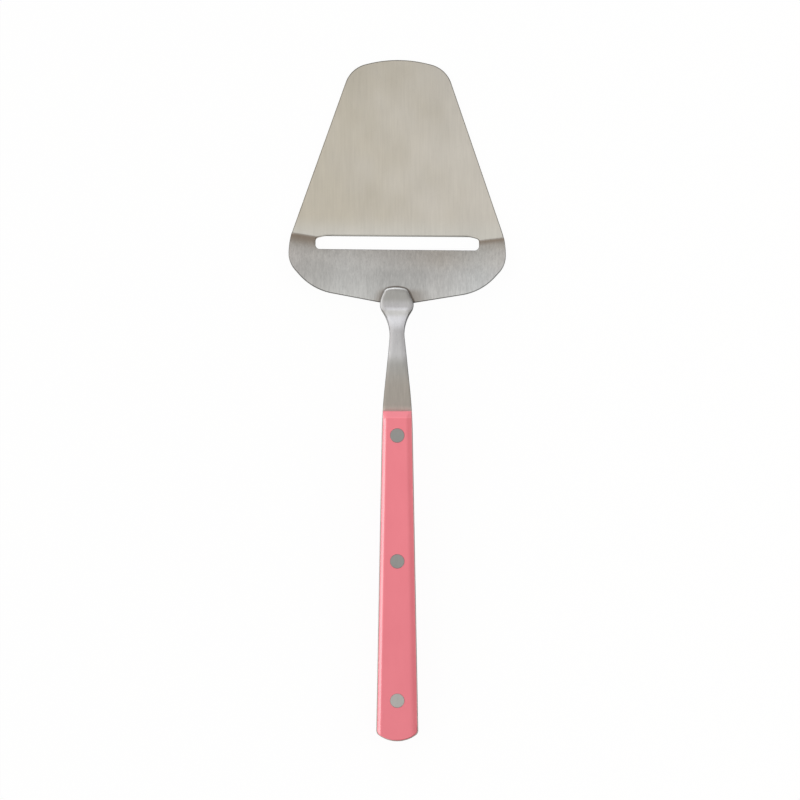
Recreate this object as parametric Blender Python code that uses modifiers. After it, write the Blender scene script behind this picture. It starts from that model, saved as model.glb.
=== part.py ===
"""Cheese slicer: a bent, slotted blade plate on a forged shank with two riveted handle scales.

Units are metres. +Y points from the handle to the tip of the blade, +X to the right and +Z up.
The slicer lies on a table at Z = 0, on the flat of its blade and on its butt, and the origin is
under the middle of its length.
"""

import math

import bmesh
import bpy
from mathutils import Vector

# Blade plate in plan: corners of the sharp outline and the radii that round them
SPADE_LENGTH = 0.06245
TIP_WIDTH = 0.0337
TIP_CROWN = 0.0042
TIP_CROWN_RADIUS = 0.0434
TIP_CORNER_RADIUS = 0.0100
HEAD_WIDTH = 0.0767
EAR_DROP = 0.0019
EAR_HEIGHT = 0.0080
EAR_SLOPE_WIDTH = 0.0085
EAR_SLOPE_HEIGHT = 0.0094
EAR_TOP_RADIUS = 0.0373
EAR_SIDE_RADIUS = 0.0121
EAR_LOW_RADIUS = 0.0203
HEEL_SWEEP = 0.0052
HEEL_RADIUS = 0.0200

# Slot as seen from above, with the cutting edge on its tip side and the throat on its handle side
BRIDGE_WIDTH = 0.0096
SLOT_WIDTH = 0.0045
SLOT_SHOULDER_LENGTH = 0.0032
SLOT_SHOULDER_DROP = 0.0008
SLOT_SHOULDER_RADIUS = 0.0080
SLOT_CORNER_RADIUS = 0.0013
THROAT_CORNER_RADIUS = 0.0016
GRIND_WIDTH = 0.0010
GRIND_RUNOUT = 0.0040
EDGE_LAND = 0.0003

# Sheet and the bend that lifts the throat above the cutting edge
SHEET_THICKNESS = 0.0012
CREASE_DROP = 0.0010
CREASE_SKEW_DEG = 8.8
THROAT_ANGLE_DEG = 22.0
HEEL_ANGLE_DEG = 3.0
BEND_ROWS = 10

# Shank: the paddle welded on the plate, the neck and the full tang
PADDLE_OVERLAP = 0.0068
PADDLE_TOP_WIDTH = 0.0088
PADDLE_CROWN = 0.0007
PADDLE_CROWN_RADIUS = 0.0140
PADDLE_CORNER_RADIUS = 0.0022
PADDLE_THICKNESS = 0.0017
SHOULDER_WIDTH = 0.0131
SHOULDER_RADIUS = 0.0049
SHOULDER_TAPER = 0.0068
NECK_WIDTH = 0.0043
NECK_RADIUS = 0.0151
NECK_LENGTH = 0.0369
NECK_THICKNESS = 0.0032
NECK_THICKEN_OVERRUN = 0.0030
NECK_RISE = 0.0057
NECK_FOOT_PULL = 0.0060
NECK_TOP_PULL = 0.0300
NECK_ROWS = 18
TANG_FRONT_WIDTH = 0.0107
TANG_FRONT_RADIUS = 0.1900
TANG_THICKNESS = 0.0025
SHANK_EDGE_ROUND = 0.0003

# Rounded top of the shank: how far in from the outline it starts to fall, and how far it falls at the rim
PADDLE_RIM_REACH = 0.0012
PADDLE_RIM_FALL = 0.0004
NECK_RIM_REACH = 0.0025
NECK_RIM_FALL = 0.00095
TANG_RIM_REACH = 0.0005
TANG_RIM_FALL = 0.0002
RIM_RING_SHARES = (0.05, 0.16, 0.37, 0.70)

# Handle scales
HANDLE_LENGTH = 0.1167
BUTT_WIDTH = 0.0147
BUTT_CROWN = 0.0050
BUTT_RADIUS = 0.0109
BUTT_CORNER_RADIUS = 0.0020
SCALE_THICKNESS = 0.0040
SCALE_INSET = 0.0003
SCALE_BEVEL_WIDTH = 0.0016
SCALE_BEVEL_DEPTH = 0.0015
SCALE_END_LENGTH = 0.0026
SCALE_END_DEPTH = 0.0019
SCALE_EDGE_ROUND = 0.0003

# Two-piece rivets, placed from the front of the scales and from the butt
RIVET_HEAD_DIAMETER = 0.0050
RIVET_HEAD_HEIGHT = 0.0011
RIVET_HEAD_CHAMFER = 0.0001
RIVET_TUBE_DIAMETER = 0.0032
RIVET_PIN_DIAMETER = 0.0016
FRONT_RIVET_INSET = 0.0086
MIDDLE_RIVET_INSET = 0.0529
REAR_RIVET_INSET = 0.0146

# Clearance between pieces that touch, the reach of a cutter past the faces it cuts, and facets
FIT_GAP = 0.00025
CUT_OVERRUN = 0.0010
ARC_STEP_DEG = 6.0
TURN_STEPS = 28
EDGE_SEGMENTS = 2
ON_LINE = 0.000001
SHARP_EDGE_DEG = 30.0
SQUARE_EDGE_DEG = 60.0

# Finishes: linear base colour, roughness and metallic value
FINISHES = {
    "brushed_plate": ((0.52, 0.48, 0.42), 0.34, 1.0),
    "satin_shank": ((0.42, 0.41, 0.39), 0.32, 1.0),
    "pink_plastic": ((0.80, 0.23, 0.26), 0.38, 0.0),
    "rivet_steel": ((0.30, 0.29, 0.28), 0.40, 1.0),
}


def crown_peak(width, crown, radius):
    """How far the sharp peak of a crowned end stands past the arc that rounds it."""
    slope = math.atan2(crown, width / 2.0)
    return radius * (1.0 / math.cos(slope) - 1.0)


# Angles, and heights of the plate's bend: an arc that starts at the throat angle and ends at the heel's
THROAT_ANGLE = math.radians(THROAT_ANGLE_DEG)
HEEL_ANGLE = math.radians(HEEL_ANGLE_DEG)
CREASE_SKEW = math.radians(CREASE_SKEW_DEG)
EDGE_TO_HEEL = EAR_DROP + EAR_HEIGHT + EAR_SLOPE_HEIGHT + HEEL_SWEEP
BEND_LENGTH = EDGE_TO_HEEL - CREASE_DROP
BEND_RADIUS = BEND_LENGTH / (math.sin(THROAT_ANGLE) - math.sin(HEEL_ANGLE))


def bend_angle(depth):
    """Slope of the sheet at a plan distance behind the crease."""
    if depth <= 0.0:
        return 0.0
    return math.asin(math.sin(THROAT_ANGLE) - depth / BEND_RADIUS)


def bend_height(depth):
    """Height of the sheet's underside at a plan distance behind the crease."""
    if depth <= 0.0:
        return 0.0
    return BEND_RADIUS * (math.cos(bend_angle(depth)) - math.cos(THROAT_ANGLE))


# Handle: its height at the front of the scales and the tilt that sets its butt on the table
PADDLE_SEAT = SHEET_THICKNESS + FIT_GAP
HEEL_TOP = bend_height(BEND_LENGTH) + PADDLE_SEAT * math.cos(HEEL_ANGLE)
HANDLE_HEIGHT = HEEL_TOP + NECK_RISE + TANG_THICKNESS / 2.0
SCALE_SEAT = TANG_THICKNESS / 2.0 + FIT_GAP
HALF_GRIP = SCALE_SEAT + SCALE_THICKNESS
HANDLE_TILT = (math.asin(HANDLE_HEIGHT / math.hypot(HANDLE_LENGTH, HALF_GRIP))
               - math.atan2(HALF_GRIP, HANDLE_LENGTH))

# Stations along the slicer, from the tip to the butt
HANDLE_REACH = HANDLE_LENGTH * math.cos(HANDLE_TILT) + HALF_GRIP * math.sin(HANDLE_TILT)
OVERALL_LENGTH = SPADE_LENGTH + EDGE_TO_HEEL + NECK_LENGTH + HANDLE_REACH
TIP_Y = OVERALL_LENGTH / 2.0
EDGE_Y = TIP_Y - SPADE_LENGTH
CREASE_Y = EDGE_Y - CREASE_DROP
THROAT_LEAN = SHEET_THICKNESS * math.sin(bend_angle(SLOT_WIDTH - CREASE_DROP))
THROAT_Y = EDGE_Y - SLOT_WIDTH - THROAT_LEAN
HEEL_Y = EDGE_Y - EDGE_TO_HEEL
SCALE_Y = HEEL_Y - NECK_LENGTH
SLOT_HALF = HEAD_WIDTH / 2.0 - BRIDGE_WIDTH
GRIND_END = SLOT_HALF - SLOT_SHOULDER_LENGTH - GRIND_RUNOUT
RIVET_STATIONS = {
    "front": FRONT_RIVET_INSET,
    "middle": MIDDLE_RIVET_INSET,
    "rear": HANDLE_LENGTH - REAR_RIVET_INSET,
}


def new_collection(name):
    """An empty collection of the scene."""
    collection = bpy.data.collections.new(name)
    bpy.context.scene.collection.children.link(collection)
    return collection


def finish_material(name):
    """A Principled material from the table of finishes."""
    colour, roughness, metallic = FINISHES[name]
    material = bpy.data.materials.new(name)
    material.use_nodes = True
    shader = material.node_tree.nodes["Principled BSDF"]
    shader.inputs["Base Color"].default_value = (*colour, 1.0)
    shader.inputs["Roughness"].default_value = roughness
    shader.inputs["Metallic"].default_value = metallic
    material.diffuse_color = (*colour, 1.0)
    return material


def add_object(name, bm, collection, parent=None):
    """Turns a bmesh into a named object of a collection."""
    mesh = bpy.data.meshes.new(name)
    bm.to_mesh(mesh)
    bm.free()
    piece = bpy.data.objects.new(name, mesh)
    collection.objects.link(piece)
    piece.parent = parent
    return piece


def settle(piece, material):
    """Replaces a piece's modifiers by their result, shades it and gives it its finish."""
    bpy.context.view_layer.update()
    evaluated = piece.evaluated_get(bpy.context.evaluated_depsgraph_get())
    mesh = bpy.data.meshes.new_from_object(evaluated)
    mesh.name = piece.name
    piece.modifiers.clear()
    piece.data = mesh
    mesh.materials.clear()
    mesh.materials.append(material)
    mesh.shade_smooth()
    mesh.set_sharp_from_angle(angle=math.radians(SHARP_EDGE_DEG))


def symmetric(corners):
    """Closes a right-hand run of (x, y, radius) corners, from axis to axis, with its mirror image."""
    left = [(-x, y, radius) for x, y, radius in reversed(corners) if x > ON_LINE]
    return corners + left


def corner_arc(before, corner, after, reach, inset):
    """Points of the arc that touches both sides of a corner at a distance from it, moved in by an inset."""
    back = (before - corner).normalized()
    ahead = (after - corner).normalized()
    turn = math.pi - back.angle(ahead)
    if reach < ON_LINE or turn < ON_LINE:
        return [corner]
    radius = reach / math.tan(turn / 2.0)
    centre = corner + (back + ahead).normalized() * (radius / math.cos(turn / 2.0))
    side = back.y * ahead.x - back.x * ahead.y
    spoke = (corner + back * reach - centre) * (1.0 + math.copysign(inset, side) / radius)
    half_steps = math.ceil(turn / math.radians(ARC_STEP_DEG) / 2.0)
    points = []
    for step in range(2 * half_steps + 1):
        angle = math.copysign(turn * step / (2 * half_steps), side)
        cosine = math.cos(angle)
        sine = math.sin(angle)
        points.append(centre + Vector((spoke.x * cosine - spoke.y * sine, spoke.x * sine + spoke.y * cosine)))
    return points


def rounded(corners, inset=0.0):
    """Closed clockwise outline of (x, y, radius) corners, rounded by tangent arcs and moved in by an inset."""
    points = [Vector((x, y)) for x, y, radius in corners]
    count = len(points)
    reaches = []
    for i in range(count):
        back = points[i - 1] - points[i]
        ahead = points[(i + 1) % count] - points[i]
        turn = math.pi - back.angle(ahead)
        reaches.append(corners[i][2] * math.tan(turn / 2.0))
    for i in range(count):
        # Two neighbouring fillets share the straight between them
        after = (i + 1) % count
        straight = (points[after] - points[i]).length
        wanted = reaches[i] + reaches[after]
        if wanted > straight:
            reaches[i] *= straight / wanted
            reaches[after] *= straight / wanted
    outline = []
    for i in range(count):
        for point in corner_arc(points[i - 1], points[i], points[(i + 1) % count], reaches[i], inset):
            if not outline or (point - outline[-1]).length > ON_LINE:
                outline.append(point)
    if (outline[0] - outline[-1]).length < ON_LINE:
        outline.pop()
    return outline


def right_half(outline):
    """The points of a symmetric outline on and right of the axis."""
    half = []
    for point in outline:
        if abs(point.x) < ON_LINE:
            half.append(Vector((0.0, point.y)))
        elif point.x > 0.0:
            half.append(point)
    return half


def flat_face(points, height=0.0):
    """A bmesh with one face through the points, looking up."""
    bm = bmesh.new()
    face = bm.faces.new([bm.verts.new((point.x, point.y, height)) for point in points])
    face.normal_update()
    if face.normal.z < 0.0:
        face.normal_flip()
    return bm


def split(bm, place, normal, faces=None):
    """Cuts the faces, or all of them, along a plane."""
    chosen = list(bm.faces) if faces is None else faces
    edges = {edge for face in chosen for edge in face.edges}
    verts = {vert for face in chosen for vert in face.verts}
    bmesh.ops.bisect_plane(bm, geom=[*chosen, *edges, *verts], dist=ON_LINE, plane_co=place, plane_no=normal)


def plane_off(bm, place, normal):
    """Planes off what lies past a plane and closes the cut."""
    geometry = [*bm.faces, *bm.edges, *bm.verts]
    cut = bmesh.ops.bisect_plane(bm, geom=geometry, dist=ON_LINE, plane_co=place, plane_no=normal,
                                 clear_outer=True)
    rim = [item for item in cut["geom_cut"] if isinstance(item, bmesh.types.BMEdge)]
    bmesh.ops.holes_fill(bm, edges=rim, sides=0)


def thicken(piece, thickness, weights):
    """Solidifies a sheet upwards, each vertex by its share of the thickness."""
    group = piece.vertex_groups.new(name="thickness")
    for index, weight in enumerate(weights):
        group.add([index], weight, "REPLACE")
    shell = piece.modifiers.new("thickness", "SOLIDIFY")
    shell.thickness = thickness
    shell.offset = 1.0
    shell.use_even_offset = True
    shell.vertex_group = group.name


def round_edges(piece, width, sharp_deg):
    """Rounds the edges of a piece that are sharper than an angle."""
    bevel = piece.modifiers.new("edges", "BEVEL")
    bevel.width = width
    bevel.segments = EDGE_SEGMENTS
    bevel.limit_method = "ANGLE"
    bevel.angle_limit = math.radians(sharp_deg)


def plate_outline():
    """Right half of the plate's outside, from the tip to the heel."""
    peak = TIP_Y + crown_peak(TIP_WIDTH, TIP_CROWN, TIP_CROWN_RADIUS)
    ear_x = HEAD_WIDTH / 2.0
    ear_y = EDGE_Y - EAR_DROP
    return right_half(rounded(symmetric([
        (0.0, peak, TIP_CROWN_RADIUS),
        (TIP_WIDTH / 2.0, peak - TIP_CROWN, TIP_CORNER_RADIUS),
        (ear_x, ear_y, EAR_TOP_RADIUS),
        (ear_x, ear_y - EAR_HEIGHT, EAR_SIDE_RADIUS),
        (ear_x - EAR_SLOPE_WIDTH, HEEL_Y + HEEL_SWEEP, EAR_LOW_RADIUS),
        (0.0, HEEL_Y, HEEL_RADIUS),
    ])))


def slot_outline():
    """Right half of the slot, from the cutting edge to the throat."""
    return right_half(rounded(symmetric([
        (0.0, EDGE_Y, 0.0),
        (SLOT_HALF - SLOT_SHOULDER_LENGTH, EDGE_Y, SLOT_SHOULDER_RADIUS),
        (SLOT_HALF, EDGE_Y - SLOT_SHOULDER_DROP, SLOT_CORNER_RADIUS),
        (SLOT_HALF, THROAT_Y, THROAT_CORNER_RADIUS),
        (0.0, THROAT_Y, 0.0),
    ])))


def plate_height(point):
    """Height of the plate's underside: flat to the crease, which runs forward across the bridges."""
    fade = min(1.0, max(0.0, (point.y - HEEL_Y) / BEND_LENGTH))
    skew = math.tan(CREASE_SKEW) * max(0.0, point.x - SLOT_HALF) * fade
    return bend_height(CREASE_Y + skew - point.y)


def make_blade_plate(collection, material):
    """The blade: half a flat blank, scored for its bends, bent, mirrored and thickened."""
    bm = flat_face(plate_outline() + list(reversed(slot_outline())))
    split(bm, (GRIND_END, 0.0, 0.0), (1.0, 0.0, 0.0))
    outer = [face for face in bm.faces if face.calc_center_median().x > GRIND_END]
    split(bm, (SLOT_HALF, CREASE_Y, 0.0), (-math.sin(CREASE_SKEW), math.cos(CREASE_SKEW), 0.0), outer)
    split(bm, (0.0, EDGE_Y + GRIND_WIDTH, 0.0), (0.0, 1.0, 0.0))
    for row in range(1, BEND_ROWS):
        split(bm, (0.0, CREASE_Y - BEND_LENGTH * row / BEND_ROWS, 0.0), (0.0, 1.0, 0.0))
    weights = []
    for vert in bm.verts:
        ground = abs(vert.co.y - EDGE_Y) < ON_LINE and vert.co.x < GRIND_END + ON_LINE
        weights.append(EDGE_LAND / SHEET_THICKNESS if ground else 1.0)
        vert.co.z = plate_height(vert.co)
    piece = add_object("blade_plate", bm, collection)
    mirror = piece.modifiers.new("other_half", "MIRROR")
    mirror.merge_threshold = ON_LINE
    thicken(piece, SHEET_THICKNESS, weights)
    settle(piece, material)


def on_handle(along, height):
    """World (y, z) of a point at a distance behind the front of the scales and above the tang's middle."""
    cosine = math.cos(HANDLE_TILT)
    sine = math.sin(HANDLE_TILT)
    return Vector((SCALE_Y - along * cosine - height * sine, HANDLE_HEIGHT - along * sine + height * cosine))


def handle_corners(inset):
    """Right-hand corners of the handle as (x, distance behind its front, radius), inset from the tang."""
    peak = HANDLE_LENGTH + crown_peak(BUTT_WIDTH, BUTT_CROWN, BUTT_RADIUS)
    return [
        (TANG_FRONT_WIDTH / 2.0 - inset, 0.0, TANG_FRONT_RADIUS),
        (BUTT_WIDTH / 2.0 - inset, peak - BUTT_CROWN - inset, BUTT_CORNER_RADIUS),
        (0.0, peak - inset, BUTT_RADIUS),
    ]


def shank_outline(inset):
    """Whole outline of the shank in plan, moved in by an inset."""
    peak = HEEL_Y + PADDLE_OVERLAP + crown_peak(PADDLE_TOP_WIDTH, PADDLE_CROWN, PADDLE_CROWN_RADIUS)
    corners = [
        (0.0, peak, PADDLE_CROWN_RADIUS),
        (PADDLE_TOP_WIDTH / 2.0, peak - PADDLE_CROWN, PADDLE_CORNER_RADIUS),
        (SHOULDER_WIDTH / 2.0, HEEL_Y, SHOULDER_RADIUS),
        (NECK_WIDTH / 2.0, HEEL_Y - SHOULDER_TAPER, NECK_RADIUS),
    ]
    for x, along, radius in handle_corners(0.0):
        corners.append((x, on_handle(along, -TANG_THICKNESS / 2.0).x, radius))
    return rounded(symmetric(corners), inset)


def paddle_underside(y):
    """Height of the paddle's underside, which lies on the bent plate."""
    depth = CREASE_Y - y
    for _ in range(4):
        depth = CREASE_Y - y + PADDLE_SEAT * math.sin(bend_angle(depth))
    return bend_height(depth) + PADDLE_SEAT * math.cos(bend_angle(depth))


def neck_underside(y):
    """Height of the neck's underside: a cubic curve from the heel of the plate up to the tang."""
    foot = Vector((HEEL_Y, HEEL_TOP))
    top = on_handle(0.0, -TANG_THICKNESS / 2.0)
    foot_pull = foot + NECK_FOOT_PULL * Vector((-math.cos(HEEL_ANGLE), math.sin(HEEL_ANGLE)))
    top_pull = top + NECK_TOP_PULL * Vector((math.cos(HANDLE_TILT), math.sin(HANDLE_TILT)))
    low, high = 0.0, 1.0
    for _ in range(40):
        t = (low + high) / 2.0
        s = 1.0 - t
        point = s ** 3 * foot + 3.0 * s * s * t * foot_pull + 3.0 * s * t * t * top_pull + t ** 3 * top
        if point.x > y:
            low = t
        else:
            high = t
    return point.y


def shank_underside(y):
    """Height of the shank's underside anywhere along the slicer."""
    tang_front = on_handle(0.0, -TANG_THICKNESS / 2.0)
    if y > HEEL_Y:
        return paddle_underside(y)
    if y > tang_front.x:
        return neck_underside(y)
    return tang_front.y + (y - tang_front.x) * math.tan(HANDLE_TILT)


def shank_thickness(y):
    """Thickness of the shank: thin at the paddle, thickest past the waist of the neck, then the tang's."""
    thin = HEEL_Y + NECK_THICKEN_OVERRUN
    thick = HEEL_Y - SHOULDER_TAPER - NECK_THICKEN_OVERRUN
    if y > thick:
        share = min(1.0, max(0.0, (thin - y) / (thin - thick)))
        return PADDLE_THICKNESS + (NECK_THICKNESS - PADDLE_THICKNESS) * share * share * (3.0 - 2.0 * share)
    share = min(1.0, (thick - y) / (thick - SCALE_Y))
    return NECK_THICKNESS + (TANG_THICKNESS - NECK_THICKNESS) * share


def shank_rim(y):
    """Reach and fall of the shank's rounded top: fullest along the neck, and fading into the flat tang."""
    paddle = Vector((PADDLE_RIM_REACH, PADDLE_RIM_FALL))
    neck = Vector((NECK_RIM_REACH, NECK_RIM_FALL))
    tang = Vector((TANG_RIM_REACH, TANG_RIM_FALL))
    waist = HEEL_Y - SHOULDER_TAPER
    if y > waist:
        return neck.lerp(paddle, min(1.0, (y - waist) / SHOULDER_TAPER))
    flat_run = (waist - SCALE_Y) / 3.0
    return neck.lerp(tang, min(1.0, max(0.0, (waist - y) / flat_run - 1.0)))


def ring_top(bm, top):
    """Lays rings inside the outline of a slab's top, each point keeping its distance from the rim."""
    rim = bm.verts.layers.float["rim"]
    laid = shank_outline(0.0)
    for share in RIM_RING_SHARES:
        inset = share * NECK_WIDTH / 2.0
        further_in = shank_outline(inset)
        raised = bmesh.ops.extrude_face_region(bm, geom=[top, *top.edges, *top.verts])
        top = next(item for item in raised["geom"] if isinstance(item, bmesh.types.BMFace))
        for vert in top.verts:
            nearest = min(range(len(laid)), key=lambda i: (laid[i] - vert.co.xy).length_squared)
            vert.co.xy = further_in[nearest]
            vert[rim] = inset
        laid = further_in


def press_shank(bm):
    """Bends a flat shank of unit height along its length, draws it to its thickness and rounds its top."""
    rim = bm.verts.layers.float["rim"]
    step = NECK_LENGTH / NECK_ROWS / 4.0
    for vert in bm.verts:
        x, y, up = vert.co
        angle = math.atan2(shank_underside(y + step) - shank_underside(y - step), 2.0 * step)
        reach, fall = shank_rim(y)
        short = max(0.0, 1.0 - vert[rim] / reach)
        lift = up * (shank_thickness(y) - fall * (1.0 - math.sqrt(1.0 - short * short)))
        vert.co = (x, y - lift * math.sin(angle), shank_underside(y) + lift * math.cos(angle))


def make_shank(collection, material, bores):
    """The shank: a flat blank raised, ringed inside its rim, scored in rows, bent, rounded and bored."""
    bm = flat_face(shank_outline(0.0))
    bm.verts.layers.float.new("rim")
    raised = bmesh.ops.extrude_face_region(bm, geom=list(bm.faces))
    top = next(item for item in raised["geom"] if isinstance(item, bmesh.types.BMFace))
    bmesh.ops.translate(bm, verts=top.verts, vec=(0.0, 0.0, 1.0))
    ring_top(bm, top)
    paddle_rows = [HEEL_Y + PADDLE_OVERLAP * row / 3.0 for row in range(3)]
    neck_rows = [HEEL_Y - NECK_LENGTH * row / NECK_ROWS for row in range(1, NECK_ROWS + 1)]
    for row in paddle_rows + neck_rows:
        split(bm, (0.0, row, 0.0), (0.0, 1.0, 0.0))
    press_shank(bm)
    bmesh.ops.recalc_face_normals(bm, faces=list(bm.faces))
    piece = add_object("shank", bm, collection)
    round_edges(piece, SHANK_EDGE_ROUND, SQUARE_EDGE_DEG)
    bore_out(piece, bores)
    settle(piece, material)


def bore_out(piece, bores):
    """Cuts the rivet bores out of a piece."""
    for bore in bores:
        cut = piece.modifiers.new(bore.name, "BOOLEAN")
        cut.operation = "DIFFERENCE"
        cut.object = bore


def make_scale(name, turn, frame, collection, material, bores):
    """A handle scale: the handle's outline extruded, with planed sides and front, turned to its side."""
    corners = [(0.0, 0.0, 0.0)]
    for x, along, radius in handle_corners(SCALE_INSET):
        corners.append((x, -along, radius if along > 0.0 else 0.0))
    bm = flat_face(rounded(symmetric(corners)), SCALE_SEAT)
    raised = bmesh.ops.extrude_face_region(bm, geom=list(bm.faces))
    top = [item for item in raised["geom"] if isinstance(item, bmesh.types.BMVert)]
    bmesh.ops.translate(bm, verts=top, vec=(0.0, 0.0, SCALE_THICKNESS))
    bmesh.ops.recalc_face_normals(bm, faces=list(bm.faces))
    front_x, front_y = corners[1][:2]
    butt_x, butt_y = corners[2][:2]
    side_run = Vector((butt_x - front_x, butt_y - front_y)).normalized()
    for side in (1.0, -1.0):
        outward = Vector((-side * side_run.y, side_run.x, 0.0))
        slope = outward * SCALE_BEVEL_DEPTH + Vector((0.0, 0.0, SCALE_BEVEL_WIDTH))
        plane_off(bm, (side * front_x, front_y, HALF_GRIP - SCALE_BEVEL_DEPTH), slope)
    plane_off(bm, (0.0, 0.0, HALF_GRIP - SCALE_END_DEPTH), (0.0, SCALE_END_DEPTH, SCALE_END_LENGTH))
    bmesh.ops.recalc_face_normals(bm, faces=list(bm.faces))
    piece = add_object(name, bm, collection, frame)
    piece.rotation_euler = (0.0, turn, 0.0)
    round_edges(piece, SCALE_EDGE_ROUND, SHARP_EDGE_DEG)
    bore_out(piece, bores)
    settle(piece, material)


def turned(name, profile, place, frame, collection):
    """A round piece: an (r, z) profile from its top down, turned about its own Z axis."""
    bm = bmesh.new()
    verts = [bm.verts.new((radius, 0.0, height)) for radius, height in profile]
    for upper, lower in zip(verts, verts[1:]):
        bm.edges.new((upper, lower))
    piece = add_object(name, bm, collection, frame)
    piece.location = place
    screw = piece.modifiers.new("turn", "SCREW")
    screw.steps = TURN_STEPS
    screw.render_steps = TURN_STEPS
    screw.use_merge_vertices = True
    screw.merge_threshold = ON_LINE
    return piece


def make_bores(frame, collection):
    """Cutters for the rivets: a clear bore through the handle, wider at both ends for the heads."""
    head = RIVET_HEAD_DIAMETER / 2.0 + FIT_GAP
    tube = RIVET_TUBE_DIAMETER / 2.0 + FIT_GAP
    end = HALF_GRIP + CUT_OVERRUN
    floor = HALF_GRIP - RIVET_HEAD_HEIGHT - FIT_GAP
    profile = [(0.0, end), (head, end), (head, floor), (tube, floor),
               (tube, -floor), (head, -floor), (head, -end), (0.0, -end)]
    bores = []
    for name, along in RIVET_STATIONS.items():
        bore = turned("bore_" + name, profile, (0.0, -along, 0.0), frame, collection)
        bore.hide_render = True
        bore.display_type = "WIRE"
        bores.append(bore)
    return bores


def make_rivets(frame, collection, material):
    """Both halves of each rivet: a headed tube from above and the headed pin that closes it from below."""
    head = RIVET_HEAD_DIAMETER / 2.0
    tube = RIVET_TUBE_DIAMETER / 2.0
    pin = RIVET_PIN_DIAMETER / 2.0
    bore = pin + FIT_GAP
    shoulder = HALF_GRIP - RIVET_HEAD_HEIGHT
    head_profile = [
        (0.0, HALF_GRIP),
        (head - RIVET_HEAD_CHAMFER, HALF_GRIP),
        (head, HALF_GRIP - RIVET_HEAD_CHAMFER),
        (head, shoulder),
    ]
    tube_end = FIT_GAP - shoulder
    pin_end = FIT_GAP - shoulder
    tube_profile = head_profile + [(tube, shoulder), (tube, tube_end), (bore, tube_end),
                                   (bore, shoulder), (0.0, shoulder)]
    pin_profile = head_profile + [(pin, shoulder), (pin, pin_end), (0.0, pin_end)]
    for name, along in RIVET_STATIONS.items():
        place = (0.0, -along, 0.0)
        settle(turned("rivet_tube_" + name, tube_profile, place, frame, collection), material)
        closing = turned("rivet_pin_" + name, pin_profile, place, frame, collection)
        closing.rotation_euler = (0.0, math.pi, 0.0)
        settle(closing, material)


def main():
    for item in list(bpy.data.objects):
        bpy.data.objects.remove(item)
    parts = new_collection("cheese_slicer")
    cutters = new_collection("cheese_slicer_cutters")
    plate_steel = finish_material("brushed_plate")
    shank_steel = finish_material("satin_shank")
    plastic = finish_material("pink_plastic")
    rivet_steel = finish_material("rivet_steel")

    frame = bpy.data.objects.new("handle_frame", None)
    parts.objects.link(frame)
    frame.location = (0.0, SCALE_Y, HANDLE_HEIGHT)
    frame.rotation_euler = (HANDLE_TILT, 0.0, 0.0)

    bores = make_bores(frame, cutters)
    make_blade_plate(parts, plate_steel)
    make_shank(parts, shank_steel, bores)
    make_scale("front_scale", 0.0, frame, parts, plastic, bores)
    make_scale("back_scale", math.pi, frame, parts, plastic, bores)
    make_rivets(frame, parts, rivet_steel)


main()
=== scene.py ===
"""Looks of the cheese slicer: brushed steel plate and shank, pink handle scales and flush rivets.

Units are metres, in the frame of the solids: +Y points to the tip of the blade and +Z is up.
"""

import math

import bmesh
import bpy
from mathutils import Matrix, Vector


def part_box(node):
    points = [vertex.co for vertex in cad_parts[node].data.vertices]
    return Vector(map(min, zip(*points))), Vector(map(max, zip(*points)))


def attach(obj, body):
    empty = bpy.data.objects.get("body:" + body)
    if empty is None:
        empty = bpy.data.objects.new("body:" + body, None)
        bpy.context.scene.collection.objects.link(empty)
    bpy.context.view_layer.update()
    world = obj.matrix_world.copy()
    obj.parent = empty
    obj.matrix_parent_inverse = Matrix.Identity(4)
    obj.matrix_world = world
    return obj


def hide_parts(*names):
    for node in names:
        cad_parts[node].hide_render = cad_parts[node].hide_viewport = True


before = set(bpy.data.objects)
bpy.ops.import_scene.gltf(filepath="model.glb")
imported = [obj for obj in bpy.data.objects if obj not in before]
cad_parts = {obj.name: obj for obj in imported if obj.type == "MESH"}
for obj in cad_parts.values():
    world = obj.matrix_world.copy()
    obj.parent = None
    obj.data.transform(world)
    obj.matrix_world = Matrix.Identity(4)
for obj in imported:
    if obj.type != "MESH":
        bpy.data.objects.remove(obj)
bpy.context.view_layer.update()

# Blade plate in plan: sharp corners and the radii that round them
SPADE_LENGTH = 0.06236
TIP_WIDTH = 0.0337
TIP_CROWN = 0.00427
TIP_CROWN_RADIUS = 0.0434
TIP_CORNER_RADIUS = 0.0100
HEAD_WIDTH = 0.0767
EAR_DROP = 0.0019
EAR_HEIGHT = 0.0080
EAR_SLOPE_WIDTH = 0.0085
EAR_SLOPE_HEIGHT = 0.0094
EAR_TOP_RADIUS = 0.0373
EAR_SIDE_RADIUS = 0.0121
EAR_LOW_RADIUS = 0.0203
HEEL_SWEEP = 0.0052
HEEL_RADIUS = 0.0200

# Slot, with the ground cutting edge on its tip side and the raised throat on its handle side
BRIDGE_WIDTH = 0.00948
SLOT_WIDTH = 0.00459
SLOT_SHOULDER_LENGTH = 0.0032
SLOT_SHOULDER_DROP = 0.0008
SLOT_SHOULDER_RADIUS = 0.0080
SLOT_CORNER_RADIUS = 0.0013
THROAT_CORNER_RADIUS = 0.0016
GRIND_WIDTH = 0.0006
GRIND_RUNOUT = 0.0020
EDGE_LAND = 0.0003

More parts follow.
